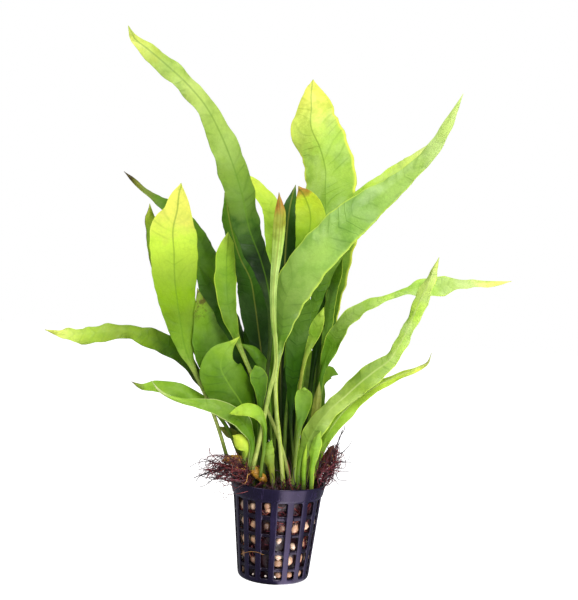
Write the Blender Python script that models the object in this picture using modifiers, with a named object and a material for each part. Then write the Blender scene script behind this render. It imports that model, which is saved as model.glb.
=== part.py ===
# A potted java fern: a black net pot with gravel and roots, two creeping stems and their leaves.
# Lengths in this file are millimetres until MM turns them into metres. +X is right, -Y is the front.
import math
from typing import NamedTuple

import bmesh
import bpy
import numpy as np
from mathutils import Matrix, Vector

MM = 0.001

# The net pot, a standard 5 cm one
RIM_RADIUS = 25.5
POT_HEIGHT = 51.0
BAND_HEIGHT = 7.0
# How much less the band's radius is at its foot
BAND_TAPER = 1.3
BODY_TOP_RADIUS = 23.7
BASE_RADIUS = 18.9
BASE_EDGE = 2.0
WALL = 1.1
FLOOR = 1.6
POT_STEPS = 32

# Its windows: columns round the wall, rows as (bottom, top), widths at the top row
COLUMNS = 17
FIRST_COLUMN_DEG = 7.7
ROWS = ((3.4, 6.6), (9.0, 15.7), (18.3, 24.9), (27.0, 33.7), (36.7, 42.9))
WINDOW_WIDTH = 4.9
FLOOR_SLOTS = 8
FLOOR_SLOT = (8.0, 2.4)
FLOOR_SLOT_RADIUS = 11.0

# What fills it, and the gap that keeps neighbours apart
GAP = 0.3
GRAVEL_TOP = 44.0
ROOT_TOP = 50.0
ROUNDING = 1.2
FILL_STEPS = 20

# The camera's place in the picture that the leaf routes are read from
VIEW_DISTANCE = 500.0
VIEW_HEIGHT = 148.0

# How the leaves fan out: a leaf's layer is -1 in front and 1 at the back
FOOT_SPREAD = 16.0
FAN = 0.22
FAN_BEND = 0.0008
FAN_FROM = 20.0

BLADE_THICKNESS = 0.8
RING_POINTS = 6
STATIONS = 12
FEWER_STATIONS = 9
SHORT_ROUTE = 8

# Colours, linear
POT_BLACK = (0.012, 0.010, 0.018)
GRAVEL_TAN = (0.42, 0.26, 0.13)
ROOT_BROWN = (0.035, 0.012, 0.009)
GOLDEN = (0.36, 0.17, 0.03)
YELLOW = (0.72, 0.74, 0.08)
LIME = (0.38, 0.58, 0.05)
MID_GREEN = (0.13, 0.34, 0.04)
DARK_GREEN = (0.03, 0.12, 0.015)
OLIVE = (0.24, 0.32, 0.05)
RUST = (0.28, 0.12, 0.05)


class Leaf(NamedTuple):
    """A route is read on the upright plane through the pot's axis, as x, height and full width.
    Its first point is the foot, at its real place; the others are carried along the line of sight."""

    name: str
    layer: float
    turn: float
    tone: tuple
    route: tuple


FRONT_LEAVES = (
    Leaf("leaf_brown_tip", -1.04, 8, RUST, (
        (-13.2, 62.1, 2.4), (-11.3, 71.9, 2.3), (-9.4, 84.9, 2.2), (-7.5, 97.9, 2.2), (-5, 113, 2.2),
        (-5.6, 122.9, 2.4), (-7.4, 134.9, 3), (-8.5, 148.9, 3.6), (-8.6, 160.9, 4.2), (-7.9, 172.9, 5.6),
        (-7.6, 184.9, 6.6), (-7.6, 194.9, 5.8), (-8.8, 205.4, 0))),
    Leaf("leaf_big_right", -0.85, -28, MID_GREEN, (
        (2.9, 50.3, 2.4), (-0.3, 71, 2.3), (-3.5, 91, 2.2), (-4.6, 106, 2.4), (-3.7, 119, 3.6),
        (-1.8, 132, 7.5), (0, 148, 17), (5.4, 161.6, 21.4), (13.3, 173.1, 21.4), (25.1, 187.2, 21.2),
        (36.5, 198.3, 18.8), (50.4, 210.1, 13), (63.3, 222.4, 8.6), (72.7, 233.7, 7.2),
        (79.5, 246.8, 5.6), (86.9, 264.2, 0))),
    Leaf("leaf_tall_left", -0.62, 26, MID_GREEN, (
        (-7.1, 50.3, 2.4), (-9.2, 66.9, 2.2), (-9.6, 100.9, 2.2), (-8.8, 128.9, 2.4), (-11.5, 150.9, 5),
        (-17.2, 167.8, 11), (-24.3, 183.8, 14), (-29.5, 202.7, 15.5), (-35.7, 219.7, 15.8),
        (-42.6, 234.6, 13.8), (-50.9, 248.5, 10.5), (-61.1, 259.4, 10.5), (-73.1, 269.3, 10.6),
        (-84.2, 277.7, 8.6), (-91.8, 283.6, 4.6), (-95, 290.1, 0))),
    Leaf("leaf_broad_left", -0.45, 24, LIME, (
        (-28.2, 64.3, 2), (-33.3, 75.7, 2), (-37.9, 86.6, 2), (-43, 96.6, 2.1), (-49.1, 108, 3.2),
        (-54.2, 119, 8), (-57, 130.5, 13.8), (-59.4, 142.4, 17.8), (-61.7, 155.4, 21.6),
        (-62.9, 169.4, 23.8), (-64.3, 182.4, 23), (-62.7, 193.4, 13.8), (-62.5, 200.4, 8.5),
        (-61.6, 207.4, 0))),
    Leaf("leaf_bright_upright", -0.47, 22, LIME, (
        (6.9, 50.3, 2), (1.3, 67, 1.9), (-3.9, 79.5, 1.9), (-9.5, 90.9, 1.9), (-15.1, 101.9, 2),
        (-21.2, 113.8, 2.4), (-27.3, 126.7, 4), (-31.2, 137.2, 8), (-33.8, 148.7, 10.4),
        (-35.1, 160.7, 11.2), (-35.5, 169.7, 9.6), (-35.1, 176.7, 6.4), (-34.8, 182.7, 0))),
    Leaf("leaf_right_tall", -0.7, -28, LIME, (
        (10.4, 50.3, 2.6), (11.1, 61.1, 4), (14.2, 70.6, 8), (18.6, 80.2, 10.5), (25.1, 89.7, 9),
        (32.8, 97.3, 9), (40.8, 105.3, 11.2), (48.3, 112, 10.6), (56.3, 118.9, 7.6), (61.1, 127.4, 6.2),
        (64.9, 135.6, 6.2), (67.9, 143.6, 6.4), (71.2, 152, 7), (74.9, 161.7, 5.6), (77.1, 168.7, 3.4),
        (79.2, 175.7, 0))),
    Leaf("leaf_broad_lower", -0.55, 26, MID_GREEN, (
        (-12.6, 50.3, 2.4), (-14.3, 70.9, 3), (-19.4, 84.8, 12), (-25.5, 93.8, 21.5),
        (-31.1, 101.7, 23.5), (-35.1, 109.7, 22), (-34.2, 116.2, 14), (-30.7, 121.2, 6),
        (-25.3, 126.8, 0))),
    Leaf("leaf_left_small_front", -1.0, 30, LIME, (
        (-15.2, 61.5, 2.2), (-15.8, 72.8, 4), (-19.9, 79.8, 8), (-28.4, 85.7, 8.6), (-37.4, 88.6, 7.4),
        (-46.5, 89.6, 4.6), (-54.5, 90.5, 3), (-61.5, 92.4, 1.8), (-67.5, 95.9, 1.2), (-71.1, 100.3, 0))),
    Leaf("leaf_small_round", -0.72, 6, MID_GREEN, (
        (-12.7, 60.8, 2), (-11.8, 75.9, 2), (-12, 90.9, 3), (-12.5, 99.9, 7), (-13.9, 105.4, 9.5),
        (-15.1, 109.4, 6), (-16.2, 111.8, 0))),
    Leaf("leaf_curled_small", -1.7, 14, LIME, (
        (-9.2, 58.4, 1.8), (-8.6, 70.5, 2), (-9.4, 80, 3), (-13.2, 86.2, 6.4), (-18.8, 87.8, 7),
        (-24, 86.6, 4.5), (-28.6, 84.9, 0))),
    Leaf("leaf_yellow_bud", -0.9, 12, YELLOW, (
        (-18.3, 63.8, 2.4), (-18.2, 66.3, 5), (-19.6, 69, 8), (-22, 71.2, 8), (-26, 73.6, 0))),
    Leaf("leaf_low_center", -0.95, -14, OLIVE, (
        (-2.3, 50.3, 2), (-4.4, 58, 4), (-6.2, 64.4, 6.6), (-5.9, 68.9, 5), (-4.8, 72.5, 0))),
    Leaf("leaf_spoon", -0.98, -18, MID_GREEN, (
        (7.9, 50.3, 2), (8.8, 67.1, 2), (9.6, 81.1, 3.5), (10.6, 89.1, 7), (11.1, 95.6, 9.2),
        (11.1, 99.7, 6.5), (10.9, 101.6, 0))),
    Leaf("leaf_narrow_lime", -0.86, -20, LIME, (
        (13.4, 50.3, 2.2), (13.4, 58.1, 2.6), (13.6, 65.1, 2.2), (14.1, 71.1, 0))),
    Leaf("leaf_wrinkled_small", -0.95, -25, LIME, (
        (17.4, 50.3, 2), (18, 60.2, 3), (18.8, 67.2, 5), (19.7, 73.2, 4.6), (21.2, 78.7, 0))),
    Leaf("leaf_stub_olive", -0.48, -20, OLIVE, (
        (13.4, 50.3, 2.2), (16, 73.1, 2.6), (17.8, 89.2, 4.2), (18.5, 97.2, 4), (19, 105.2, 0))),
    Leaf("leaf_star", 0.06, -25, MID_GREEN, (
        (20.9, 50.3, 1.8), (20.2, 81.2, 1.7), (19.9, 98.2, 1.8), (21, 106.7, 5), (23.9, 110.5, 7),
        (28.9, 109.5, 0))),
    Leaf("leaf_small_bright", -0.46, -22, LIME, (
        (10.3, 50.3, 2), (9.2, 81.1, 1.8), (8.9, 105.1, 1.8), (10.8, 118.1, 2.4), (13.2, 126.1, 4.5),
        (15.6, 133.6, 7), (17.4, 139.7, 4.6), (19, 145.2, 0))),
)

MIDDLE_LEAVES = (
    Leaf("leaf_right_low", -0.38, -30, LIME, (
        (17.4, 50.3, 2.4), (21.3, 65.2, 3), (25.2, 77.2, 6.4), (30.9, 86.5, 8.6), (38, 94.8, 7.6),
        (45.4, 100.9, 5.5), (54.4, 107, 4.4), (63.3, 111.4, 3.8), (71.8, 115.3, 2.6), (76.3, 118.5, 1.4),
        (78.2, 124.2, 0))),
    Leaf("leaf_right_far", -0.14, -26, LIME, (
        (14.4, 50.3, 2.4), (17, 76.2, 2.6), (18.8, 97.2, 3), (20.3, 111.2, 3.4), (22.8, 121.2, 7),
        (25.7, 128.6, 8.8), (29.6, 136.9, 7.6), (36, 143.5, 6.6), (45, 149.1, 5.8), (55.9, 153.7, 3.2),
        (62.9, 156.6, 4.5), (68.9, 158.1, 9.5), (79.9, 160.1, 9.6), (89.9, 162, 6.4), (99.9, 162.6, 4.2),
        (109.9, 163.3, 3), (118.8, 165.1, 0))),
    Leaf("leaf_spotted", -0.3, 28, MID_GREEN, (
        (-11.6, 50.3, 2.2), (-17.3, 75.8, 2.4), (-27.5, 95.7, 8), (-34.6, 107.7, 16), (-39.7, 119.6, 19),
        (-43.3, 129.6, 14), (-46.4, 140.6, 8.5), (-49.5, 151.5, 0))),
    Leaf("leaf_left_small_upper", -0.36, 30, LIME, (
        (-22.2, 65.7, 2), (-29.3, 77.7, 2), (-38.4, 87.6, 3.4), (-45.5, 91.2, 7.4), (-53.5, 94.8, 8),
        (-61.5, 97, 7), (-69.5, 97.5, 5.6), (-76.5, 96.9, 3.2), (-82, 99.2, 0))),
    Leaf("leaf_olive_narrow", -0.2, 25, OLIVE, (
        (-15.6, 50.3, 1.8), (-17.8, 66, 2.4), (-22.5, 72.3, 4.2), (-28.5, 75.3, 5), (-34, 78, 0))),
    Leaf("leaf_arched_strip", -0.33, 25, MID_GREEN, (
        (-3.1, 50.3, 2), (-6.4, 85.9, 2), (-9.6, 102.9, 4), (-11.7, 111.9, 6), (-16.7, 118.8, 5.5),
        (-25.3, 123.3, 0))),
    Leaf("leaf_yellow_small", -0.24, -24, YELLOW, (
        (2.9, 50.3, 2), (2.1, 81, 2), (3.8, 121, 2), (4.4, 156, 4), (6.3, 173.1, 9), (8.7, 185.1, 15),
        (8.6, 195.1, 16), (5.5, 203.1, 11), (1.4, 209.5, 0))),
    Leaf("leaf_mid_green", -0.34, -20, MID_GREEN, (
        (9.9, 50.3, 2), (4.6, 86, 2.4), (4.4, 105, 7), (5.3, 120, 11), (6.4, 133.1, 11.5),
        (7.5, 147.1, 9), (7.9, 161.1, 0))),
    Leaf("leaf_left_long", -0.05, 30, MID_GREEN, (
        (-13.1, 50.3, 2), (-22.3, 71.8, 2), (-34.4, 88.7, 2.4), (-43.5, 99.6, 4.5), (-52.2, 111.3, 7),
        (-59.2, 117.4, 10), (-67.8, 121.5, 10.4), (-76.8, 123.9, 9.8), (-84.8, 126.2, 6.8),
        (-92.8, 125.1, 8.4), (-101.8, 123.6, 9.4), (-111.3, 122.3, 7.8), (-120.3, 122.5, 4.6),
        (-130.2, 124.3, 0))),
    Leaf("leaf_strip_right", 0.25, -30, MID_GREEN, (
        (19.4, 50.3, 2), (19.4, 86.2, 2), (20.2, 109.2, 2.5), (21.2, 129.2, 4.5), (22.5, 149.2, 5.5),
        (24.8, 166.2, 5.5), (27.7, 183.3, 0))),
    Leaf("leaf_dark_left", 0.0, 28, DARK_GREEN, (
        (0.4, 50.3, 2), (-4.8, 71, 1.9), (-8.9, 81.9, 1.9), (-11.5, 95.9, 1.9), (-12.4, 112.9, 5),
        (-15.4, 130.9, 14), (-18.2, 145.8, 17), (-21.1, 157.8, 15), (-27.2, 168.7, 13), (-31.3, 178.7, 9),
        (-34.9, 190.7, 7), (-38, 203.6, 0))),
    Leaf("leaf_dark_center", 0.14, -18, DARK_GREEN, (
        (1.9, 50.3, 2), (-1.6, 101, 2), (-2.9, 141, 6), (-3.2, 166, 9.5), (-2.9, 186, 10), (-2, 199, 7),
        (-0.1, 210, 0))),
    Leaf("leaf_dark_middle", 0.22, 32, DARK_GREEN, (
        (-7.1, 50.3, 2), (-13.4, 85.9, 2.2), (-23.7, 110.8, 6), (-32.8, 127.7, 9.5), (-40, 142.6, 10),
        (-46.1, 154.6, 7), (-51.2, 165.5, 0))),
)

BACK_LEAVES = (
    Leaf("leaf_yellow_behind", 0.24, -26, YELLOW, (
        (6.9, 50.3, 2), (9.4, 101.1, 2), (14, 146.1, 6), (23.7, 179.2, 12), (37.5, 204.9, 12),
        (50.4, 216, 11), (60.3, 225.1, 8), (70.2, 236.2, 0))),
    Leaf("leaf_lime_arching", 0.32, 22, LIME, (
        (-3.1, 50.3, 2), (-3.6, 101, 2), (-4.9, 141, 5), (-8.2, 165.9, 10), (-9.8, 184.9, 11),
        (-13, 198.4, 10), (-19.5, 205.8, 8), (-26.6, 211.8, 5), (-32.6, 215.7, 0))),
    Leaf("leaf_dark_strip", 0.36, -30, DARK_GREEN, (
        (11.4, 50.3, 2), (13.5, 91.1, 2), (15.8, 121.1, 4), (18.1, 141.2, 7.5), (19.9, 159.2, 8.5),
        (20.8, 173.2, 5), (21.2, 185.2, 0))),
    Leaf("leaf_thin_tip", 0.42, 30, DARK_GREEN, (
        (-10.1, 50.3, 2), (-16.4, 85.8, 2), (-24.7, 118.8, 4), (-32.9, 140.7, 9), (-41.1, 158.6, 12.5),
        (-49.2, 173.5, 12), (-58.4, 186.5, 9.5), (-67.4, 194.2, 7.2), (-74.5, 198.2, 4.6),
        (-81.5, 202.6, 3.2), (-87.1, 207.2, 2.8), (-92.6, 211.7, 0))),
    Leaf("leaf_broad_yellow", 0.5, -26, YELLOW, (
        (15.9, 50.3, 2.2), (17.5, 96.2, 2.2), (18.8, 119.2, 5), (21.1, 134.2, 9), (21.5, 148.2, 13),
        (21.4, 161.2, 18), (20.7, 183.2, 27), (18.5, 206.2, 27), (17.6, 219.2, 26), (13.5, 231.1, 25),
        (7.9, 242.1, 25), (7.2, 251.1, 19.8), (6.1, 259.1, 12), (5.9, 267.1, 0))),
    Leaf("leaf_far_left", 0.6, 32, OLIVE, (
        (-15.1, 51, 2), (-30.4, 85.7, 2.2), (-47.7, 118.5, 5), (-59.9, 140.4, 10), (-69.1, 160.3, 10),
        (-74.8, 178.3, 7), (-76.9, 187.3, 5), (-77.8, 195.3, 0))),
    Leaf("leaf_back_low_left", 0.9, 42, MID_GREEN, (
        (-14.1, 50.3, 2), (-23.3, 75.8, 4), (-31.5, 90.7, 10), (-38.6, 104.6, 11), (-43.7, 115.6, 0))),
    Leaf("leaf_back_tall_left", 0.78, 34, MID_GREEN, (
        (-2.1, 50.3, 2.2), (-5.5, 95.9, 2.2), (-11.8, 130.9, 10), (-19.1, 158.8, 12), (-24.3, 176.8, 0))),
    Leaf("leaf_back_tall_right", 0.74, -38, MID_GREEN, (
        (10.9, 50.3, 2.2), (15.5, 92, 3), (19.2, 125, 9), (22, 153.2, 12), (25.7, 177.2, 0))),
    Leaf("leaf_back_upright", 0.9, -24, MID_GREEN, (
        (2.9, 50.3, 2.2), (0.5, 96, 2.2), (-0.8, 131, 9), (-0.1, 163, 13), (1.6, 187, 8), (2.5, 201, 0))),
    Leaf("leaf_back_left", 0.86, 38, DARK_GREEN, (
        (-10.1, 50.3, 2), (-18.4, 85.8, 2.4), (-24.6, 108.8, 9), (-30.9, 132.7, 12), (-37, 152.7, 0))),
    Leaf("leaf_back_dark", 1.08, 28, DARK_GREEN, (
        (-0.1, 50.3, 2), (-3.6, 76, 5), (-9.6, 101, 12), (-15.9, 128, 14), (-20.6, 154.8, 0))),
    Leaf("leaf_back_right", 1.0, -24, MID_GREEN, (
        (12.4, 50.3, 2.4), (14.4, 62, 7), (16.2, 76, 12), (16.6, 92, 12), (15, 108, 11), (12, 125, 0))),
    Leaf("leaf_back_arching", 1.45, 30, LIME, (
        (-5.6, 50.6, 2.4), (-8.6, 60, 7), (-12.4, 74, 12), (-16, 92, 12), (-19.7, 112.8, 0))),
    Leaf("leaf_back_drooping", 2.6, -4, MID_GREEN, (
        (3.4, 50.3, 2.4), (4, 60, 7), (4.4, 73, 10.5), (5.5, 90, 11), (7.2, 109, 0))),
    Leaf("leaf_back_crown", 0.56, -16, DARK_GREEN, (
        (-0.4, 50.3, 2.4), (-0.2, 59, 7), (0.4, 71, 11.5), (1.2, 87, 12), (1.8, 103, 9), (2.4, 121, 0))),
    Leaf("leaf_back_crown_left", 1.45, 20, DARK_GREEN, (
        (-11.5, 50.3, 2.4), (-14.5, 60, 6.5), (-18.6, 73, 11), (-24, 90, 12), (-29, 110, 0))),
)

LEAVES = FRONT_LEAVES + MIDDLE_LEAVES + BACK_LEAVES


def new_collection(name):
    """A collection of this name, linked to the scene."""
    made = bpy.data.collections.new(name)
    bpy.context.scene.collection.children.link(made)
    return made


def plain_material(name, colour, roughness=0.5):
    """A Principled material with one colour."""
    made = bpy.data.materials.new(name)
    made.use_nodes = True
    shader = made.node_tree.nodes["Principled BSDF"]
    shader.inputs["Base Color"].default_value = (*colour, 1.0)
    shader.inputs["Roughness"].default_value = roughness
    return made


def add_object(name, data, collection, colour=None, roughness=0.5):
    """Links an object with its own material."""
    made = bpy.data.objects.new(name, data)
    collection.objects.link(made)
    if colour is not None:
        data.materials.append(plain_material(name + "_finish", colour, roughness))
    return made


def turned(name, profile, steps, collection, colour=None, roughness=0.5):
    """A solid turned about Z from a profile of (radius, height) in mm that begins and ends on the axis."""
    mesh = bpy.data.meshes.new(name)
    points = [(radius * MM, 0.0, height * MM) for radius, height in profile]
    edges = [(i, i + 1) for i in range(len(points) - 1)]
    mesh.from_pydata(points, edges, [])
    made = add_object(name, mesh, collection, colour, roughness)
    screw = made.modifiers.new("turn", "SCREW")
    screw.axis = "Z"
    screw.steps = steps
    screw.render_steps = steps
    screw.use_merge_vertices = True
    screw.merge_threshold = 0.00005
    screw.use_smooth_shade = True
    return made


def body_radius(height):
    """The outer radius of the pot's tapering body at a height."""
    return BASE_RADIUS + (BODY_TOP_RADIUS - BASE_RADIUS) * height / (POT_HEIGHT - BAND_HEIGHT)


def pot_windows(collection):
    """One cutter with a block for each window in the wall and each slot in the floor."""
    blocks = bmesh.new()
    for column in range(COLUMNS):
        angle = math.radians(FIRST_COLUMN_DEG + column * 360 / COLUMNS - 90)
        for low, high in ROWS:
            radius = body_radius((low + high) / 2)
            width = WINDOW_WIDTH * radius / BODY_TOP_RADIUS
            middle = (radius * MM, 0, (low + high) / 2 * MM)
            place = Matrix.Rotation(angle, 4, "Z") @ Matrix.Translation(middle)
            size = Matrix.Diagonal((6 * WALL * MM, width * MM, (high - low) * MM, 1))
            bmesh.ops.create_cube(blocks, size=1, matrix=place @ size)
    for slot in range(FLOOR_SLOTS):
        turn = Matrix.Rotation(2 * math.pi * (slot + 0.5) / FLOOR_SLOTS, 4, "Z")
        place = turn @ Matrix.Translation((FLOOR_SLOT_RADIUS * MM, 0, FLOOR / 2 * MM))
        size = Matrix.Diagonal((FLOOR_SLOT[0] * MM, FLOOR_SLOT[1] * MM, 3 * FLOOR * MM, 1))
        bmesh.ops.create_cube(blocks, size=1, matrix=place @ size)
    mesh = bpy.data.meshes.new("pot_windows")
    blocks.to_mesh(mesh)
    blocks.free()
    cutter = add_object("pot_windows", mesh, collection)
    cutter.hide_render = True
    cutter.display_type = "WIRE"
    return cutter


def make_pot(collection, cutters):
    """The net pot: a thin tapering wall with a smooth band at the rim, cut by its windows."""
    band_low = POT_HEIGHT - BAND_HEIGHT
    inner_top = RIM_RADIUS - WALL
    profile = (
        (0, FLOOR),
        (BASE_RADIUS - WALL - BASE_EDGE / 2, FLOOR),
        (body_radius(BASE_EDGE) - WALL, FLOOR + BASE_EDGE / 2),
        (BODY_TOP_RADIUS - WALL, band_low - 0.6),
        (inner_top - BAND_TAPER, band_low + 0.6),
        (inner_top, POT_HEIGHT - 0.4),
        (inner_top + 0.3, POT_HEIGHT),
        (RIM_RADIUS - 0.3, POT_HEIGHT),
        (RIM_RADIUS, POT_HEIGHT - 0.4),
        (RIM_RADIUS - BAND_TAPER, band_low + 0.3),
        (RIM_RADIUS - BAND_TAPER - 0.3, band_low),
        (BODY_TOP_RADIUS, band_low - 0.3),
        (body_radius(BASE_EDGE), BASE_EDGE),
        (BASE_RADIUS - BASE_EDGE * 0.4, BASE_EDGE * 0.3),
        (BASE_RADIUS - BASE_EDGE, 0),
        (0, 0),
    )
    pot = turned("net_pot", profile, POT_STEPS, collection, POT_BLACK, 0.25)
    cut = pot.modifiers.new("windows", "BOOLEAN")
    cut.operation = "DIFFERENCE"
    cut.object = pot_windows(cutters)
    return pot


def make_fill(collection):
    """The gravel inside the wall, and the matted roots that cover it up to the rim."""
    inside = BASE_RADIUS - WALL - BASE_EDGE / 2 - GAP
    low = FLOOR + GAP
    top_radius = body_radius(GRAVEL_TOP - ROUNDING) - WALL - GAP
    gravel = (
        (0, GRAVEL_TOP),
        (top_radius - ROUNDING, GRAVEL_TOP),
        (top_radius, GRAVEL_TOP - ROUNDING),
        (body_radius(low + BASE_EDGE) - WALL - GAP, low + BASE_EDGE),
        (inside - GAP, low),
        (0, low),
    )
    turned("gravel_fill", gravel, FILL_STEPS, collection, GRAVEL_TAN, 0.8)
    radius = RIM_RADIUS - BAND_TAPER - WALL - GAP
    low = GRAVEL_TOP + GAP
    neck = BODY_TOP_RADIUS - WALL - GAP - ROUNDING
    roots = (
        (0, ROOT_TOP),
        (radius - 2 * ROUNDING, ROOT_TOP),
        (radius, ROOT_TOP - 2 * ROUNDING),
        (radius, low + 2 * ROUNDING),
        (neck, low),
        (0, low),
    )
    turned("root_mass", roots, FILL_STEPS, collection, ROOT_BROWN, 0.8)


def make_rhizome(name, points, radii, collection, colour):
    """A creeping stem: a round curve through its points, thicker where its radius says."""
    curve = bpy.data.curves.new(name, "CURVE")
    curve.dimensions = "3D"
    curve.resolution_u = 3
    curve.bevel_depth = MM
    curve.bevel_resolution = 1
    curve.use_fill_caps = True
    spline = curve.splines.new("NURBS")
    spline.points.add(len(points) - 1)
    for point, place, radius in zip(spline.points, points, radii):
        point.co = (*(v * MM for v in place), 1)
        point.radius = radius
    spline.order_u = 3
    spline.use_endpoint_u = True
    add_object(name, curve, collection, colour, 0.6)


def make_tuft(name, centre, radii, collection):
    """A lump of wiry roots: a ball drawn out to its three radii, its surface uneven by a sum of waves."""
    lump = bmesh.new()
    bmesh.ops.create_uvsphere(lump, u_segments=12, v_segments=8, radius=1)
    for vertex in lump.verts:
        x, y, z = vertex.co
        swell = 1 + 0.08 * math.sin(5 * x + 2 * z) * math.cos(4 * y - 3 * z)
        vertex.co = Vector((x * radii[0], y * radii[1], z * radii[2])) * swell * MM + Vector(centre) * MM
    mesh = bpy.data.meshes.new(name)
    lump.to_mesh(mesh)
    lump.free()
    mesh.shade_smooth()
    add_object(name, mesh, collection, ROOT_BROWN, 0.8)


def smooth_through(points, at):
    """The smooth cubic through the rows of points, at parts 0 to 1 of their summed distances.
    The slope at each point is that of the parabola through it and its neighbours."""
    steps = np.linalg.norm(np.diff(points[:, :2], axis=0), axis=1)
    knots = np.concatenate([[0], np.cumsum(steps)]) / steps.sum()
    slopes = np.gradient(points, knots, axis=0)
    i = np.clip(np.searchsorted(knots, at, side="right") - 1, 0, len(knots) - 2)
    gap = (knots[i + 1] - knots[i])[:, None]
    t = (at - knots[i])[:, None] / gap
    return (
        (1 + 2 * t) * (1 - t) ** 2 * points[i]
        + t * (1 - t) ** 2 * gap * slopes[i]
        + t**2 * (3 - 2 * t) * points[i + 1]
        + t**2 * (t - 1) * gap * slopes[i + 1]
    )


def placed(leaf, at):
    """The middle line of a leaf in space and its width there, at parts 0 to 1 of its route."""
    route = np.array(leaf.route, float)
    reach = np.hypot(route[:, 0], route[:, 1] - POT_HEIGHT)
    out = np.maximum(reach - FAN_FROM, 0)
    depth = leaf.layer * (FAN * out + FAN_BEND * out**2) + np.clip(leaf.layer, -1.1, 1.1) * FOOT_SPREAD
    carry = 1 + depth / VIEW_DISTANCE
    carry[0] = 1
    x = route[:, 0] * carry
    z = VIEW_HEIGHT + (route[:, 1] - VIEW_HEIGHT) * carry
    line = smooth_through(np.column_stack([x, z, depth, route[:, 2] * carry]), at)
    return line[:, [0, 2, 1]], np.maximum(line[:, 3], 0.3)


def make_leaf(leaf, collection):
    """One leaf with its stalk. Rings of six points follow the route: round on the stalk, where the width
    is the stalk's own, and flat on the blade, whose face looks to the front and is turned by leaf.turn."""
    count = STATIONS if len(leaf.route) >= SHORT_ROUTE else FEWER_STATIONS
    at = np.linspace(0, 1, count)
    middle, width = placed(leaf, at)
    along = np.gradient(middle, axis=0)
    along /= np.linalg.norm(along, axis=1)[:, None]
    across = np.cross((0, 1, 0), along)
    across /= np.linalg.norm(across, axis=1)[:, None]
    outward = np.cross(across, along)
    turn = math.radians(leaf.turn)
    flat = np.clip((width - 2.5) / 2.5, 0, 1)[:, None]
    side = across * math.cos(turn) - outward * math.sin(turn)
    face = outward * math.cos(turn) + across * math.sin(turn)
    half = (width / 2)[:, None] * (1 + flat * (1 / math.cos(turn) - 1))
    thick = np.minimum((width / 2)[:, None], BLADE_THICKNESS / 2 + (1 - flat) * 0.6)
    angles = 2 * math.pi * np.arange(RING_POINTS) / RING_POINTS
    rings = [m + np.outer(np.cos(angles), s * h) + np.outer(np.sin(angles), f * t)
             for m, s, f, h, t in zip(middle[:-1], side, face, half, thick)]
    blade = bmesh.new()
    loops = [[blade.verts.new(Vector(p) * MM) for p in ring] for ring in rings]
    tip = blade.verts.new(Vector(middle[-1]) * MM)
    for low, high in zip(loops, loops[1:]):
        for k in range(RING_POINTS):
            n = (k + 1) % RING_POINTS
            blade.faces.new((low[k], low[n], high[n], high[k]))
    for k in range(RING_POINTS):
        blade.faces.new((loops[-1][k], loops[-1][(k + 1) % RING_POINTS], tip))
    blade.faces.new(loops[0][::-1])
    bmesh.ops.recalc_face_normals(blade, faces=blade.faces)
    mesh = bpy.data.meshes.new(leaf.name)
    blade.to_mesh(mesh)
    blade.free()
    mesh.shade_smooth()
    add_object(leaf.name, mesh, collection, leaf.tone, 0.4)


for old in list(bpy.data.objects):
    bpy.data.objects.remove(old, do_unlink=True)

plant = new_collection("potted_java_fern")
cutters = new_collection("cutters")
make_pot(plant, cutters)
make_fill(plant)
make_rhizome(
    "rhizome_left",
    ((-6.1, -13, 52.4), (-10.1, -13.5, 55.4), (-14.2, -13, 58.4), (-19.2, -11.5, 61.3), (-24.2, -9.5, 62.3),
     (-30.2, -7.5, 60.7)),
    (2.0, 2.4, 2.8, 2.9, 2.5, 1.6),
    plant,
    GOLDEN,
)
make_rhizome(
    "rhizome_right",
    ((19.4, -2, 52.2), (21.4, -3, 57.2), (23.3, -4, 62.2), (25.8, -5, 67.2), (28.2, -6, 72.3)),
    (1.7, 2.2, 2.4, 2.0, 1.2),
    plant,
    ROOT_BROWN,
)
make_tuft("root_tuft_left", (-24.6, -17.3, 57.6), (9.3, 4, 6), plant)
make_tuft("root_tuft_right", (26.9, -9.6, 58.8), (5, 3.6, 6), plant)
for leaf in LEAVES:
    make_leaf(leaf, plant)
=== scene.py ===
"""The looks of a potted java fern: a black net pot of gravel and roots, two creeping stems and their leaves.
Lengths are millimetres until MM turns them into metres. +X is right and -Y is the front."""

import math
from typing import NamedTuple

import bmesh
import bpy
import numpy as np
from mathutils import Matrix, Vector


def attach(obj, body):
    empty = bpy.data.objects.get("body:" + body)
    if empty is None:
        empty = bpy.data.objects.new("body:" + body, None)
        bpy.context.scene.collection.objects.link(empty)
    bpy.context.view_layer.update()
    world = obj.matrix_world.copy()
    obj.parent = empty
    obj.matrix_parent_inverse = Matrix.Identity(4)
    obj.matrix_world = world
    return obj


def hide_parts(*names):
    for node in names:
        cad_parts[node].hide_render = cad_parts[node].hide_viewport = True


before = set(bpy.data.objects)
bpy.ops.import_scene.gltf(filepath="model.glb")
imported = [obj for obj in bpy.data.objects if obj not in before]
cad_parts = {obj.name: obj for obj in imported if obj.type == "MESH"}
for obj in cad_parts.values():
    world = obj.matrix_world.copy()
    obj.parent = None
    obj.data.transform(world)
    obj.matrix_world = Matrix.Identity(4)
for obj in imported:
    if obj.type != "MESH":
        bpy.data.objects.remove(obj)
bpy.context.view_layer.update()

MM = 0.001
SEED = 8

# The pot, as in the construction: heights, radii, and its windows in columns and rows
POT_HEIGHT = 51.0
BAND_HEIGHT = 7.0
BODY_TOP_RADIUS = 23.7
BASE_RADIUS = 18.9
BODY_SLOPE = (BODY_TOP_RADIUS - BASE_RADIUS) / (POT_HEIGHT - BAND_HEIGHT)
WALL = 1.1
COLUMNS = 17
FIRST_COLUMN_DEG = 7.7
ROWS = ((3.4, 6.6), (9.0, 15.7), (18.3, 24.9), (27.0, 33.7), (36.7, 42.9))
WINDOW_WIDTH = 4.9
FLOOR_SLOTS = 8

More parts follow.
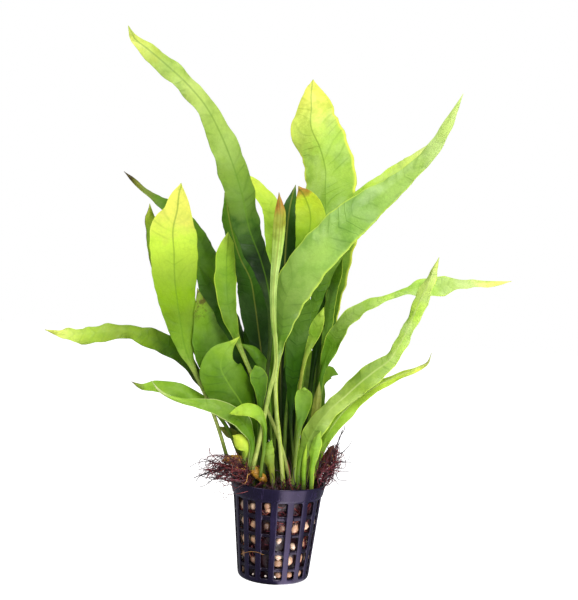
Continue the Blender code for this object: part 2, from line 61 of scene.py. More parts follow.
# The wall's outline over the rim band, below the lowest windows and round the foot: radius, height
RIM_OUTLINE = (
    (25.2, 51.0), (25.55, 50.85), (25.6, 50.2), (25.45, 49.7), (25.1, 48), (24.6, 45.6), (24.4, 44.9),
    (24.1, 44.3), (23.7, 43.9),
)
LOWEST_BODY_LEVEL = 2.2
FOOT_OUTLINE = ((18.95, 1.2), (18.6, 0.5), (18.0, 0.1), (17.3, 0.0), (15.7, 0.0))
# Mesh lines beside the windows' edges, which keep them crisp, and how deep the bars across them lie
WINDOW_LINE_DEG = 1.2
WINDOW_LINE = 0.8
BAR_DEPTH = 0.5
# The pot's floor: the radii of its mesh lines, its height, and its slots
FLOOR_RADII = (16.9, 16.2, 15.0, 14.2, 11.0, 7.8, 7.0, 6.2, 3.5, 1.2)
FLOOR_HEIGHT = 0.35
SLOT_HALF_WIDTH = 1.2
SLOT_MIDDLE = 11
SLOT_ENDS = (7.0, 15.0)
SLOT_LINE_DEG = 1.5

# What fills it
GRAVEL_TOP = 44.0
ROOT_TOP = 50.0

# The place that the leaf routes are seen from, how the leaves fan out, as in the construction, and the
# least width that a leaf ends in
VIEW_DISTANCE = 500.0
VIEW_HEIGHT = 148.0
FOOT_SPREAD = 16.0
DEEPEST_FOOT = 1.1
FAN = 0.22
FAN_BEND = 0.0008
FAN_FROM = 20.0
THINNEST = 0.3

# The creeping stems' middle lines and radii, as in the construction, and the colours of their bark
LEFT_STEM = ((-6.1, -13, 52.4), (-10.1, -13.5, 55.4), (-14.2, -13, 58.4), (-19.2, -11.5, 61.3),
             (-24.2, -9.5, 62.3), (-30.2, -7.5, 60.7))
LEFT_STEM_RADII = (2.0, 2.4, 2.8, 2.9, 2.5, 1.6)
LEFT_STEM_STOPS = ((0.25, (0.24, 0.1, 0.015)), (0.5, (0.62, 0.32, 0.03)), (0.75, (0.8, 0.56, 0.07)))
RIGHT_STEM = ((19.4, -2, 52.2), (21.4, -3, 57.2), (23.3, -4, 62.2), (25.8, -5, 67.2), (28.2, -6, 72.3))
RIGHT_STEM_RADII = (1.7, 2.2, 2.4, 2.0, 1.2)
RIGHT_STEM_STOPS = ((0.25, (0.03, 0.01, 0.01)), (0.5, (0.12, 0.035, 0.02)), (0.75, (0.45, 0.17, 0.03)))
STEM_STATIONS = 70
STEM_AROUND = 28

# The camera, level and a little rolled, as the photo was taken
CAMERA_ROLL_DEG = 3.4
CAMERA_LENS = 55.8
SENSOR_WIDTH = 36

# Leaf tissue. A unit of the rule layer of the UVs is RULE mm
BLADE_THICKNESS = 0.45
RIB_RADIUS = 0.95
RIB_TIP_RADIUS = 0.25
STALK_WIDTH = 2.5
BLADE_WIDTH = 5.0
VEIN_SPACING = 6.0
VEIN_SLOPE = 0.62
QUILTING = 0.28
KEEL = 0.1
RULE = 100.0
TRANSLUCENCY = 0.3
LEAF_ROUGHNESS = 0.3
LEAF_RELIEF = 0.3
RIB_STRENGTH = 0.5

# Leaf meshes: mesh lines round and along a leaf, how deep its foot is sunk, and how uneven its edges are
LEAF_AROUND = 40
STATION_GAP = 1.8
FEWEST_STATIONS = 60
MOST_STATIONS = 130
SUNK = 3.0
RAGGEDNESS = 0.02
RAGGED_WAVES = (7, 12, 23)

# Noise scales, how far the noise moves from leaf to leaf, and the colours that the darker or lighter
# places of a leaf are multiplied by
CLOUD_SCALE = 45
BLOTCH_SCALE = 120
FINE_SCALE = 600
# The next scale is that of the patches of painted sheen, a pale painted highlight on the leaves
PAINTED_SHEEN_SCALE = 75
SPOT_SCALE = 260
NET_SCALE = 420
GROOVE_SCALES = (110, 2.5, 1)
SHIFT_PER_LEAF = 0.37
CLOUD_TINT = (0.72, 0.82, 0.6)
BLOTCH_TINT = (0.45, 0.6, 0.32)
FINE_TINT = (1.22, 1.16, 1.15)
VEIN_TINT = (0.5, 0.62, 0.36)
GROOVE_TINT = (0.5, 0.5, 0.36)

# Leaf colours, linear. The darkest, DARK, BLACK_GREEN and DARK_STALK, are dark green darkened further by
# painted shade, for the leaves and stalk feet in the crowded middle of the plant.
LEMON = (0.98, 0.97, 0.17)
YELLOW = (0.86, 0.93, 0.10)
LIME = (0.60, 0.80, 0.075)
BRIGHT = (0.40, 0.64, 0.05)
MID = (0.26, 0.47, 0.03)
GREEN = (0.14, 0.31, 0.014)
DEEP = (0.055, 0.165, 0.006)
DARK = (0.018, 0.065, 0.003)
BLACK_GREEN = (0.006, 0.022, 0.002)
OLIVE = (0.33, 0.36, 0.05)
PALE = (0.66, 0.78, 0.26)
STALK = (0.20, 0.28, 0.045)
LIGHT_STALK = (0.58, 0.66, 0.17)
DARK_STALK = (0.06, 0.10, 0.012)
RUST = (0.70, 0.33, 0.06)
BROWN = (0.10, 0.045, 0.018)
# The pale colour of the painted sheen, a painted highlight on the leaves
PAINTED_SHEEN = (0.72, 0.84, 0.50)

# Stone colours by tone, and the darker veins and specks in them
GRAVEL_STOPS = (
    (0.0, (0.05, 0.028, 0.02)), (0.25, (0.26, 0.14, 0.085)), (0.5, (0.55, 0.33, 0.19)),
    (0.8, (0.72, 0.52, 0.36)), (1.0, (0.85, 0.8, 0.74)),
)
STONE_VEIN_TINT = (0.75, 0.5, 0.36)
SPECK_TINT = (0.4, 0.3, 0.26)
# Seeded stones: how far aside and up of a window's middle, their radii, and how far inside the wall
STONE_ASIDE = 2.4
STONE_UP = 2.5
STONE_RADII = (1.8, 3.2)
STONE_GAP = 0.15
# Stones behind the windows that the photo shows: column, row from the top, sideways, up, radius, tone
SHOWN_STONES = (
    (14, 0, 0.5, 0.0, 3.0, 0.72), (14, 1, 0.3, 0.0, 2.9, 0.62), (14, 2, 0.0, 0.0, 3.2, 0.78),
    (15, 0, -1.2, 0.3, 2.8, 0.7), (15, 1, 0.2, 0.0, 3.0, 0.5), (15, 2, 0.1, 0.6, 2.5, 0.5),
    (16, 0, 0.9, -0.6, 1.6, 0.66), (16, 0, 0.1, 1.7, 1.7, 0.36), (16, 1, 0.0, 0.0, 2.0, 0.08),
    (0, 1, 0.4, -0.8, 1.9, 0.22), (0, 2, -0.6, 1.9, 1.7, 0.85), (0, 3, -0.2, 2.3, 1.8, 0.8),
    (0, 3, 0.6, -1.2, 1.9, 0.36), (0, 4, 0.4, 0.3, 1.6, 0.3), (1, 1, 0.9, -0.6, 2.4, 0.45),
    (1, 2, 0.9, -1.7, 1.9, 0.8), (1, 3, -0.3, 0.0, 3.2, 0.6), (1, 4, 0.3, 0.0, 1.7, 0.35),
    (2, 1, 0.0, 0.0, 3.2, 0.68), (2, 2, 0.3, 0.0, 2.7, 0.4), (2, 3, 0.0, 0.0, 2.9, 0.5),
    (2, 4, 0.0, 0.0, 1.8, 0.4), (3, 1, 0.0, 0.0, 2.9, 0.8), (3, 3, 0.0, 0.0, 2.9, 0.8),
    (14, 3, 0.0, 0.4, 2.6, 0.3), (15, 3, 0.5, -0.6, 2.2, 0.15), (3, 2, 0.0, 0.0, 2.9, 0.6),
    # The last three, tiny and near white, are painted glints: white specks that stand in for light caught in
    # the bottom windows
    (16, 4, 0.6, -0.9, 0.6, 1.0), (0, 4, -1.4, -0.9, 0.7, 1.0), (15, 4, -0.3, -1.0, 0.5, 0.95),
)
# Single roots that stand out of the tufts: start, end, radius
LEFT_STRANDS = (
    (-26, -17, 59, -43.8, -20, 53.2, 0.5), (-27, -18, 58, -42.5, -20, 51.8, 0.42),
    (-29, -17, 60, -41, -20, 59.5, 0.3), (-28, -17, 56, -41.5, -19, 55.5, 0.4),
    (-26, -18, 55, -36, -20, 54, 0.4), (-29, -17, 60, -37, -19, 63, 0.3),
    (-24, -17, 60, -31, -18, 66, 0.3), (-30, -17, 57, -39, -19, 57.5, 0.35),
)
RIGHT_STRANDS = (
    (25.5, -9, 58, 32.3, -8, 81, 0.6), (28.2, -8, 66, 37.6, -8, 75.5, 0.3),
    (28.2, -9, 62.3, 37.8, -9, 64.4, 0.4), (27, -9, 59.3, 37.3, -9, 59.5, 0.3),
    (27, -9, 57.3, 36.2, -10, 55, 0.35), (29.8, -9, 68, 35, -10, 70.5, 0.25),
    (25, -10, 56.3, 31.9, -10, 52.3, 0.35), (26.8, -9, 60, 31.2, -8, 74.3, 0.5),
    (29, -9, 64, 36.5, -10, 68, 0.25), (30.6, -9, 76, 33, -9, 83.5, 0.3),
)
# Golden lengths that curl over each tuft
LEFT_CURLS = ((-17, -18.5, 59, -25, -19.5, 62, 0.4), (-15, -18.5, 57, -19, -20, 52.5, 0.35))
RIGHT_CURLS = ((24, -10.5, 59, 27.5, -10.8, 68, 0.35), (22.8, -10.8, 64, 26.8, -11.5, 60, 0.3))
ROOT_STOPS = (
    (0.0, (0.008, 0.004, 0.005)), (0.3, (0.05, 0.008, 0.014)), (0.55, (0.17, 0.018, 0.026)),
    (0.78, (0.36, 0.08, 0.05)), (1.0, (0.62, 0.33, 0.07)),
)
# Stations along a root, the roots in the mat and along the wall, the radii of those and of a tuft's, how
# wide the mat is, where its roots start and as far as they go
ROOT_STATIONS = 11
MAT_FIBRES = 560
WALL_ROOTS = 420
MAT_THICKNESS = (0.14, 0.4)
WALL_THICKNESS = (0.18, 0.5)
TUFT_THICKNESS = (0.12, 0.34)
MAT_RADIUS = 23.4
MAT_ROOTED = 22.3
MAT_REACH = 22.8
# Roots along the wall: how high they start, the heights they keep within, and how deep behind the wall
WALL_ROOT_TOP = 42.5
WALL_ROOT_LEVELS = (3.5, 44)
WALL_ROOT_DEPTHS = (0.6, 2.2)
# The hair across the wall: from and to which angle, its height, how far it bows, and its radius
HAIR_DEG = (-147, -104)
HAIR_HEIGHT = 14.2
HAIR_BOW = 2.6
HAIR_RADIUS = 0.16
# The tangle between the stones: its lowest and highest level, how deep it lies, and its lumps
CORE_LEVELS = (2.3, 45)
CORE_DEPTH = 2.9
CORE_LUMPS = 0.7

# The studio: name, power in watts, side in m, place and aim in m
WORLD_LIGHT = 0.47
# The strength of the glow painted into a strip of the floor, which no lamp casts
FLOOR_STRIP_GLOW = 5.0
FLOOR_GLOW = 0.75
LAMPS = (
    ("front right lamp", 6.5, 0.3, (0.3, -0.8, 0.6), (0, 0, 0.12)),
    ("top left lamp", 6.2, 0.5, (-0.6, -0.35, 0.85), (0, 0, 0.15)),
)
FLOOR_CORNERS = ((-3000, -3000, 0), (3000, -3000, 0), (3000, 3000, 0), (-3000, 3000, 0))


class Leaf(NamedTuple):
    """A leaf's layer is -1 in front and 1 at the back, and its turn is about its own line, in degrees. Its
    route is x, height and full width on the upright plane through the pot's axis. The first point is the
    foot, at its real place; the others are carried along the line of sight, as in the construction."""

    name: str
    layer: float
    turn: float
    route: tuple


LEAVES = (
    Leaf("leaf_brown_tip", -1.04, 8, (
        (-13.2, 62.1, 2.4), (-11.3, 71.9, 2.3), (-9.4, 84.9, 2.2), (-7.5, 97.9, 2.2), (-5, 113, 2.2),
        (-5.6, 122.9, 2.4), (-7.4, 134.9, 3), (-8.5, 148.9, 3.6), (-8.6, 160.9, 4.2), (-7.9, 172.9, 5.6),
        (-7.6, 184.9, 6.6), (-7.6, 194.9, 5.8), (-8.8, 205.4, 0))),
    Leaf("leaf_big_right", -0.85, -28, (
        (2.9, 50.3, 2.4), (-0.3, 71, 2.3), (-3.5, 91, 2.2), (-4.6, 106, 2.4), (-3.7, 119, 3.6),
        (-1.8, 132, 7.5), (0, 148, 17), (5.4, 161.6, 21.4), (13.3, 173.1, 21.4), (25.1, 187.2, 21.2),
        (36.5, 198.3, 18.8), (50.4, 210.1, 13), (63.3, 222.4, 8.6), (72.7, 233.7, 7.2), (79.5, 246.8, 5.6),
        (86.9, 264.2, 0))),
    Leaf("leaf_tall_left", -0.62, 26, (
        (-7.1, 50.3, 2.4), (-9.2, 66.9, 2.2), (-9.6, 100.9, 2.2), (-8.8, 128.9, 2.4), (-11.5, 150.9, 5),
        (-17.2, 167.8, 11), (-24.3, 183.8, 14), (-29.5, 202.7, 15.5), (-35.7, 219.7, 15.8),
        (-42.6, 234.6, 13.8), (-50.9, 248.5, 10.5), (-61.1, 259.4, 10.5), (-73.1, 269.3, 10.6),
        (-84.2, 277.7, 8.6), (-91.8, 283.6, 4.6), (-95, 290.1, 0))),
    Leaf("leaf_broad_left", -0.45, 24, (
        (-28.2, 64.3, 2), (-33.3, 75.7, 2), (-37.9, 86.6, 2), (-43, 96.6, 2.1), (-49.1, 108, 3.2),
        (-54.2, 119, 8), (-57, 130.5, 13.8), (-59.4, 142.4, 17.8), (-61.7, 155.4, 21.6),
        (-62.9, 169.4, 23.8), (-64.3, 182.4, 23), (-62.7, 193.4, 13.8), (-62.5, 200.4, 8.5),
        (-61.6, 207.4, 0))),
    Leaf("leaf_bright_upright", -0.47, 22, (
        (6.9, 50.3, 2), (1.3, 67, 1.9), (-3.9, 79.5, 1.9), (-9.5, 90.9, 1.9), (-15.1, 101.9, 2),
        (-21.2, 113.8, 2.4), (-27.3, 126.7, 4), (-31.2, 137.2, 8), (-33.8, 148.7, 10.4),
        (-35.1, 160.7, 11.2), (-35.5, 169.7, 9.6), (-35.1, 176.7, 6.4), (-34.8, 182.7, 0))),
    Leaf("leaf_right_tall", -0.7, -28, (
        (10.4, 50.3, 2.6), (11.1, 61.1, 4), (14.2, 70.6, 8), (18.6, 80.2, 10.5), (25.1, 89.7, 9),
        (32.8, 97.3, 9), (40.8, 105.3, 11.2), (48.3, 112, 10.6), (56.3, 118.9, 7.6), (61.1, 127.4, 6.2),
        (64.9, 135.6, 6.2), (67.9, 143.6, 6.4), (71.2, 152, 7), (74.9, 161.7, 5.6), (77.1, 168.7, 3.4),
        (79.2, 175.7, 0))),
    Leaf("leaf_broad_lower", -0.55, 26, (
        (-12.6, 50.3, 2.4), (-14.3, 70.9, 3), (-19.4, 84.8, 12), (-25.5, 93.8, 21.5), (-31.1, 101.7, 23.5),
        (-35.1, 109.7, 22), (-34.2, 116.2, 14), (-30.7, 121.2, 6), (-25.3, 126.8, 0))),
    Leaf("leaf_left_small_front", -1.0, 30, (
        (-15.2, 61.5, 2.2), (-15.8, 72.8, 4), (-19.9, 79.8, 8), (-28.4, 85.7, 8.6), (-37.4, 88.6, 7.4),
        (-46.5, 89.6, 4.6), (-54.5, 90.5, 3), (-61.5, 92.4, 1.8), (-67.5, 95.9, 1.2), (-71.1, 100.3, 0))),
    Leaf("leaf_small_round", -0.72, 6, (
        (-12.7, 60.8, 2), (-11.8, 75.9, 2), (-12, 90.9, 3), (-12.5, 99.9, 7), (-13.9, 105.4, 9.5),
        (-15.1, 109.4, 6), (-16.2, 111.8, 0))),
    Leaf("leaf_curled_small", -1.7, 14, (
        (-9.2, 58.4, 1.8), (-8.6, 70.5, 2), (-9.4, 80, 3), (-13.2, 86.2, 6.4), (-18.8, 87.8, 7),
        (-24, 86.6, 4.5), (-28.6, 84.9, 0))),
    Leaf("leaf_yellow_bud", -0.9, 12, (
        (-18.3, 63.8, 2.4), (-18.2, 66.3, 5), (-19.6, 69, 8), (-22, 71.2, 8), (-26, 73.6, 0))),
    Leaf("leaf_low_center", -0.95, -14, (
        (-2.3, 50.3, 2), (-4.4, 58, 4), (-6.2, 64.4, 6.6), (-5.9, 68.9, 5), (-4.8, 72.5, 0))),
    Leaf("leaf_spoon", -0.98, -18, (
        (7.9, 50.3, 2), (8.8, 67.1, 2), (9.6, 81.1, 3.5), (10.6, 89.1, 7), (11.1, 95.6, 9.2),
        (11.1, 99.7, 6.5), (10.9, 101.6, 0))),
    Leaf("leaf_narrow_lime", -0.86, -20, (
        (13.4, 50.3, 2.2), (13.4, 58.1, 2.6), (13.6, 65.1, 2.2), (14.1, 71.1, 0))),
    Leaf("leaf_wrinkled_small", -0.95, -25, (
        (17.4, 50.3, 2), (18, 60.2, 3), (18.8, 67.2, 5), (19.7, 73.2, 4.6), (21.2, 78.7, 0))),
    Leaf("leaf_stub_olive", -0.48, -20, (
        (13.4, 50.3, 2.2), (16, 73.1, 2.6), (17.8, 89.2, 4.2), (18.5, 97.2, 4), (19, 105.2, 0))),
    Leaf("leaf_star", 0.06, -25, (
        (20.9, 50.3, 1.8), (20.2, 81.2, 1.7), (19.9, 98.2, 1.8), (21, 106.7, 5), (23.9, 110.5, 7),
        (28.9, 109.5, 0))),
    Leaf("leaf_small_bright", -0.46, -22, (
        (10.3, 50.3, 2), (9.2, 81.1, 1.8), (8.9, 105.1, 1.8), (10.8, 118.1, 2.4), (13.2, 126.1, 4.5),
        (15.6, 133.6, 7), (17.4, 139.7, 4.6), (19, 145.2, 0))),
    Leaf("leaf_right_low", -0.38, -30, (
        (17.4, 50.3, 2.4), (21.3, 65.2, 3), (25.2, 77.2, 6.4), (30.9, 86.5, 8.6), (38, 94.8, 7.6),
        (45.4, 100.9, 5.5), (54.4, 107, 4.4), (63.3, 111.4, 3.8), (71.8, 115.3, 2.6), (76.3, 118.5, 1.4),
        (78.2, 124.2, 0))),
    Leaf("leaf_right_far", -0.14, -26, (
        (14.4, 50.3, 2.4), (17, 76.2, 2.6), (18.8, 97.2, 3), (20.3, 111.2, 3.4), (22.8, 121.2, 7),
        (25.7, 128.6, 8.8), (29.6, 136.9, 7.6), (36, 143.5, 6.6), (45, 149.1, 5.8), (55.9, 153.7, 3.2),
        (62.9, 156.6, 4.5), (68.9, 158.1, 9.5), (79.9, 160.1, 9.6), (89.9, 162, 6.4), (99.9, 162.6, 4.2),
        (109.9, 163.3, 3), (118.8, 165.1, 0))),
    Leaf("leaf_spotted", -0.3, 28, (
        (-11.6, 50.3, 2.2), (-17.3, 75.8, 2.4), (-27.5, 95.7, 8), (-34.6, 107.7, 16), (-39.7, 119.6, 19),
        (-43.3, 129.6, 14), (-46.4, 140.6, 8.5), (-49.5, 151.5, 0))),
    Leaf("leaf_left_small_upper", -0.36, 30, (
        (-22.2, 65.7, 2), (-29.3, 77.7, 2), (-38.4, 87.6, 3.4), (-45.5, 91.2, 7.4), (-53.5, 94.8, 8),
        (-61.5, 97, 7), (-69.5, 97.5, 5.6), (-76.5, 96.9, 3.2), (-82, 99.2, 0))),
    Leaf("leaf_olive_narrow", -0.2, 25, (
        (-15.6, 50.3, 1.8), (-17.8, 66, 2.4), (-22.5, 72.3, 4.2), (-28.5, 75.3, 5), (-34, 78, 0))),
    Leaf("leaf_arched_strip", -0.33, 25, (
        (-3.1, 50.3, 2), (-6.4, 85.9, 2), (-9.6, 102.9, 4), (-11.7, 111.9, 6), (-16.7, 118.8, 5.5),
        (-25.3, 123.3, 0))),
    Leaf("leaf_yellow_small", -0.24, -24, (
        (2.9, 50.3, 2), (2.1, 81, 2), (3.8, 121, 2), (4.4, 156, 4), (6.3, 173.1, 9), (8.7, 185.1, 15),
        (8.6, 195.1, 16), (5.5, 203.1, 11), (1.4, 209.5, 0))),
    Leaf("leaf_mid_green", -0.34, -20, (
        (9.9, 50.3, 2), (4.6, 86, 2.4), (4.4, 105, 7), (5.3, 120, 11), (6.4, 133.1, 11.5), (7.5, 147.1, 9),
        (7.9, 161.1, 0))),
    Leaf("leaf_left_long", -0.05, 30, (
        (-13.1, 50.3, 2), (-22.3, 71.8, 2), (-34.4, 88.7, 2.4), (-43.5, 99.6, 4.5), (-52.2, 111.3, 7),
        (-59.2, 117.4, 10), (-67.8, 121.5, 10.4), (-76.8, 123.9, 9.8), (-84.8, 126.2, 6.8),
        (-92.8, 125.1, 8.4), (-101.8, 123.6, 9.4), (-111.3, 122.3, 7.8), (-120.3, 122.5, 4.6),
        (-130.2, 124.3, 0))),
    Leaf("leaf_strip_right", 0.25, -30, (
        (19.4, 50.3, 2), (19.4, 86.2, 2), (20.2, 109.2, 2.5), (21.2, 129.2, 4.5), (22.5, 149.2, 5.5),
        (24.8, 166.2, 5.5), (27.7, 183.3, 0))),
    Leaf("leaf_dark_left", 0.0, 28, (
        (0.4, 50.3, 2), (-4.8, 71, 1.9), (-8.9, 81.9, 1.9), (-11.5, 95.9, 1.9), (-12.4, 112.9, 5),
        (-15.4, 130.9, 14), (-18.2, 145.8, 17), (-21.1, 157.8, 15), (-27.2, 168.7, 13), (-31.3, 178.7, 9),
        (-34.9, 190.7, 7), (-38, 203.6, 0))),
    Leaf("leaf_dark_center", 0.14, -18, (
        (1.9, 50.3, 2), (-1.6, 101, 2), (-2.9, 141, 6), (-3.2, 166, 9.5), (-2.9, 186, 10), (-2, 199, 7),
        (-0.1, 210, 0))),
    Leaf("leaf_dark_middle", 0.22, 32, (
        (-7.1, 50.3, 2), (-13.4, 85.9, 2.2), (-23.7, 110.8, 6), (-32.8, 127.7, 9.5), (-40, 142.6, 10),
        (-46.1, 154.6, 7), (-51.2, 165.5, 0))),
    Leaf("leaf_yellow_behind", 0.24, -26, (
        (6.9, 50.3, 2), (9.4, 101.1, 2), (14, 146.1, 6), (23.7, 179.2, 12), (37.5, 204.9, 12),
        (50.4, 216, 11), (60.3, 225.1, 8), (70.2, 236.2, 0))),
    Leaf("leaf_lime_arching", 0.32, 22, (
        (-3.1, 50.3, 2), (-3.6, 101, 2), (-4.9, 141, 5), (-8.2, 165.9, 10), (-9.8, 184.9, 11),
        (-13, 198.4, 10), (-19.5, 205.8, 8), (-26.6, 211.8, 5), (-32.6, 215.7, 0))),
    Leaf("leaf_dark_strip", 0.36, -30, (
        (11.4, 50.3, 2), (13.5, 91.1, 2), (15.8, 121.1, 4), (18.1, 141.2, 7.5), (19.9, 159.2, 8.5),
        (20.8, 173.2, 5), (21.2, 185.2, 0))),
    Leaf("leaf_thin_tip", 0.42, 30, (
        (-10.1, 50.3, 2), (-16.4, 85.8, 2), (-24.7, 118.8, 4), (-32.9, 140.7, 9), (-41.1, 158.6, 12.5),
        (-49.2, 173.5, 12), (-58.4, 186.5, 9.5), (-67.4, 194.2, 7.2), (-74.5, 198.2, 4.6),
        (-81.5, 202.6, 3.2), (-87.1, 207.2, 2.8), (-92.6, 211.7, 0))),
    Leaf("leaf_broad_yellow", 0.5, -26, (
        (15.9, 50.3, 2.2), (17.5, 96.2, 2.2), (18.8, 119.2, 5), (21.1, 134.2, 9), (21.5, 148.2, 13),
        (21.4, 161.2, 18), (20.7, 183.2, 27), (18.5, 206.2, 27), (17.6, 219.2, 26), (13.5, 231.1, 25),
        (7.9, 242.1, 25), (7.2, 251.1, 19.8), (6.1, 259.1, 12), (5.9, 267.1, 0))),
    Leaf("leaf_far_left", 0.6, 32, (
        (-15.1, 51, 2), (-30.4, 85.7, 2.2), (-47.7, 118.5, 5), (-59.9, 140.4, 10), (-69.1, 160.3, 10),
        (-74.8, 178.3, 7), (-76.9, 187.3, 5), (-77.8, 195.3, 0))),
    Leaf("leaf_back_low_left", 0.9, 42, (
        (-14.1, 50.3, 2), (-23.3, 75.8, 4), (-31.5, 90.7, 10), (-38.6, 104.6, 11), (-43.7, 115.6, 0))),
    Leaf("leaf_back_tall_left", 0.78, 34, (
        (-2.1, 50.3, 2.2), (-5.5, 95.9, 2.2), (-11.8, 130.9, 10), (-19.1, 158.8, 12), (-24.3, 176.8, 0))),
    Leaf("leaf_back_tall_right", 0.74, -38, (
        (10.9, 50.3, 2.2), (15.5, 92, 3), (19.2, 125, 9), (22, 153.2, 12), (25.7, 177.2, 0))),
    Leaf("leaf_back_upright", 0.9, -24, (
        (2.9, 50.3, 2.2), (0.5, 96, 2.2), (-0.8, 131, 9), (-0.1, 163, 13), (1.6, 187, 8), (2.5, 201, 0))),
    Leaf("leaf_back_left", 0.86, 38, (
        (-10.1, 50.3, 2), (-18.4, 85.8, 2.4), (-24.6, 108.8, 9), (-30.9, 132.7, 12), (-37, 152.7, 0))),
    Leaf("leaf_back_dark", 1.08, 28, (
        (-0.1, 50.3, 2), (-3.6, 76, 5), (-9.6, 101, 12), (-15.9, 128, 14), (-20.6, 154.8, 0))),
    Leaf("leaf_back_right", 1.0, -24, (
        (12.4, 50.3, 2.4), (14.4, 62, 7), (16.2, 76, 12), (16.6, 92, 12), (15, 108, 11), (12, 125, 0))),
    Leaf("leaf_back_arching", 1.45, 30, (
        (-5.6, 50.6, 2.4), (-8.6, 60, 7), (-12.4, 74, 12), (-16, 92, 12), (-19.7, 112.8, 0))),
    Leaf("leaf_back_drooping", 2.6, -4, (
        (3.4, 50.3, 2.4), (4, 60, 7), (4.4, 73, 10.5), (5.5, 90, 11), (7.2, 109, 0))),
    Leaf("leaf_back_crown", 0.56, -16, (
        (-0.4, 50.3, 2.4), (-0.2, 59, 7), (0.4, 71, 11.5), (1.2, 87, 12), (1.8, 103, 9), (2.4, 121, 0))),
    Leaf("leaf_back_crown_left", 1.45, 20, (
        (-11.5, 50.3, 2.4), (-14.5, 60, 6.5), (-18.6, 73, 11), (-24, 90, 12), (-29, 110, 0))),
)


class Look(NamedTuple):
    """How one leaf is finished. Stops are (part of the whole length, colour), rim is the colour of a thin
    band along the edges, a painted highlight where it is lighter than the blade, rib is the colour of the
    midrib, and spots are (start, end, amount) along the leaf. Wave is the height of the edges' waves in mm,
    cup is how hollow the blade is, and twist is how far it turns, in degrees. Gloss is its specular level,
    the painted sheen is how much of a pale painted highlight lies over the outer part of the leaf, and the
    others are how strong a feature is, from 0 to 1."""

    slot: str
    stops: tuple
    rim: tuple = None
    rib: tuple = None
    veins: float = 0.25
    mottle: float = 0.5
    spots: tuple = None
    wave: float = 0.5
    cup: float = 0.16
    twist: float = 10.0
    streaks: float = 0.0
    bloom: float = 0.06
    gloss: float = 0.2


def look_maker(slot, foot):
    """A function that makes looks of this slot, with this colour at the foot."""

    def make_look(*stops, **more):
        return Look(slot, ((0, foot), *stops), **more)

    return make_look


green = look_maker("leaf_green", STALK)
light_green = look_maker("leaf_green", LIGHT_STALK)
lime = look_maker("leaf_lime", STALK)
light_lime = look_maker("leaf_lime", LIGHT_STALK)
yellow = look_maker("leaf_yellow", STALK)
dark = look_maker("leaf_dark", DARK_STALK)
withered = look_maker("leaf_withered", LIGHT_STALK)
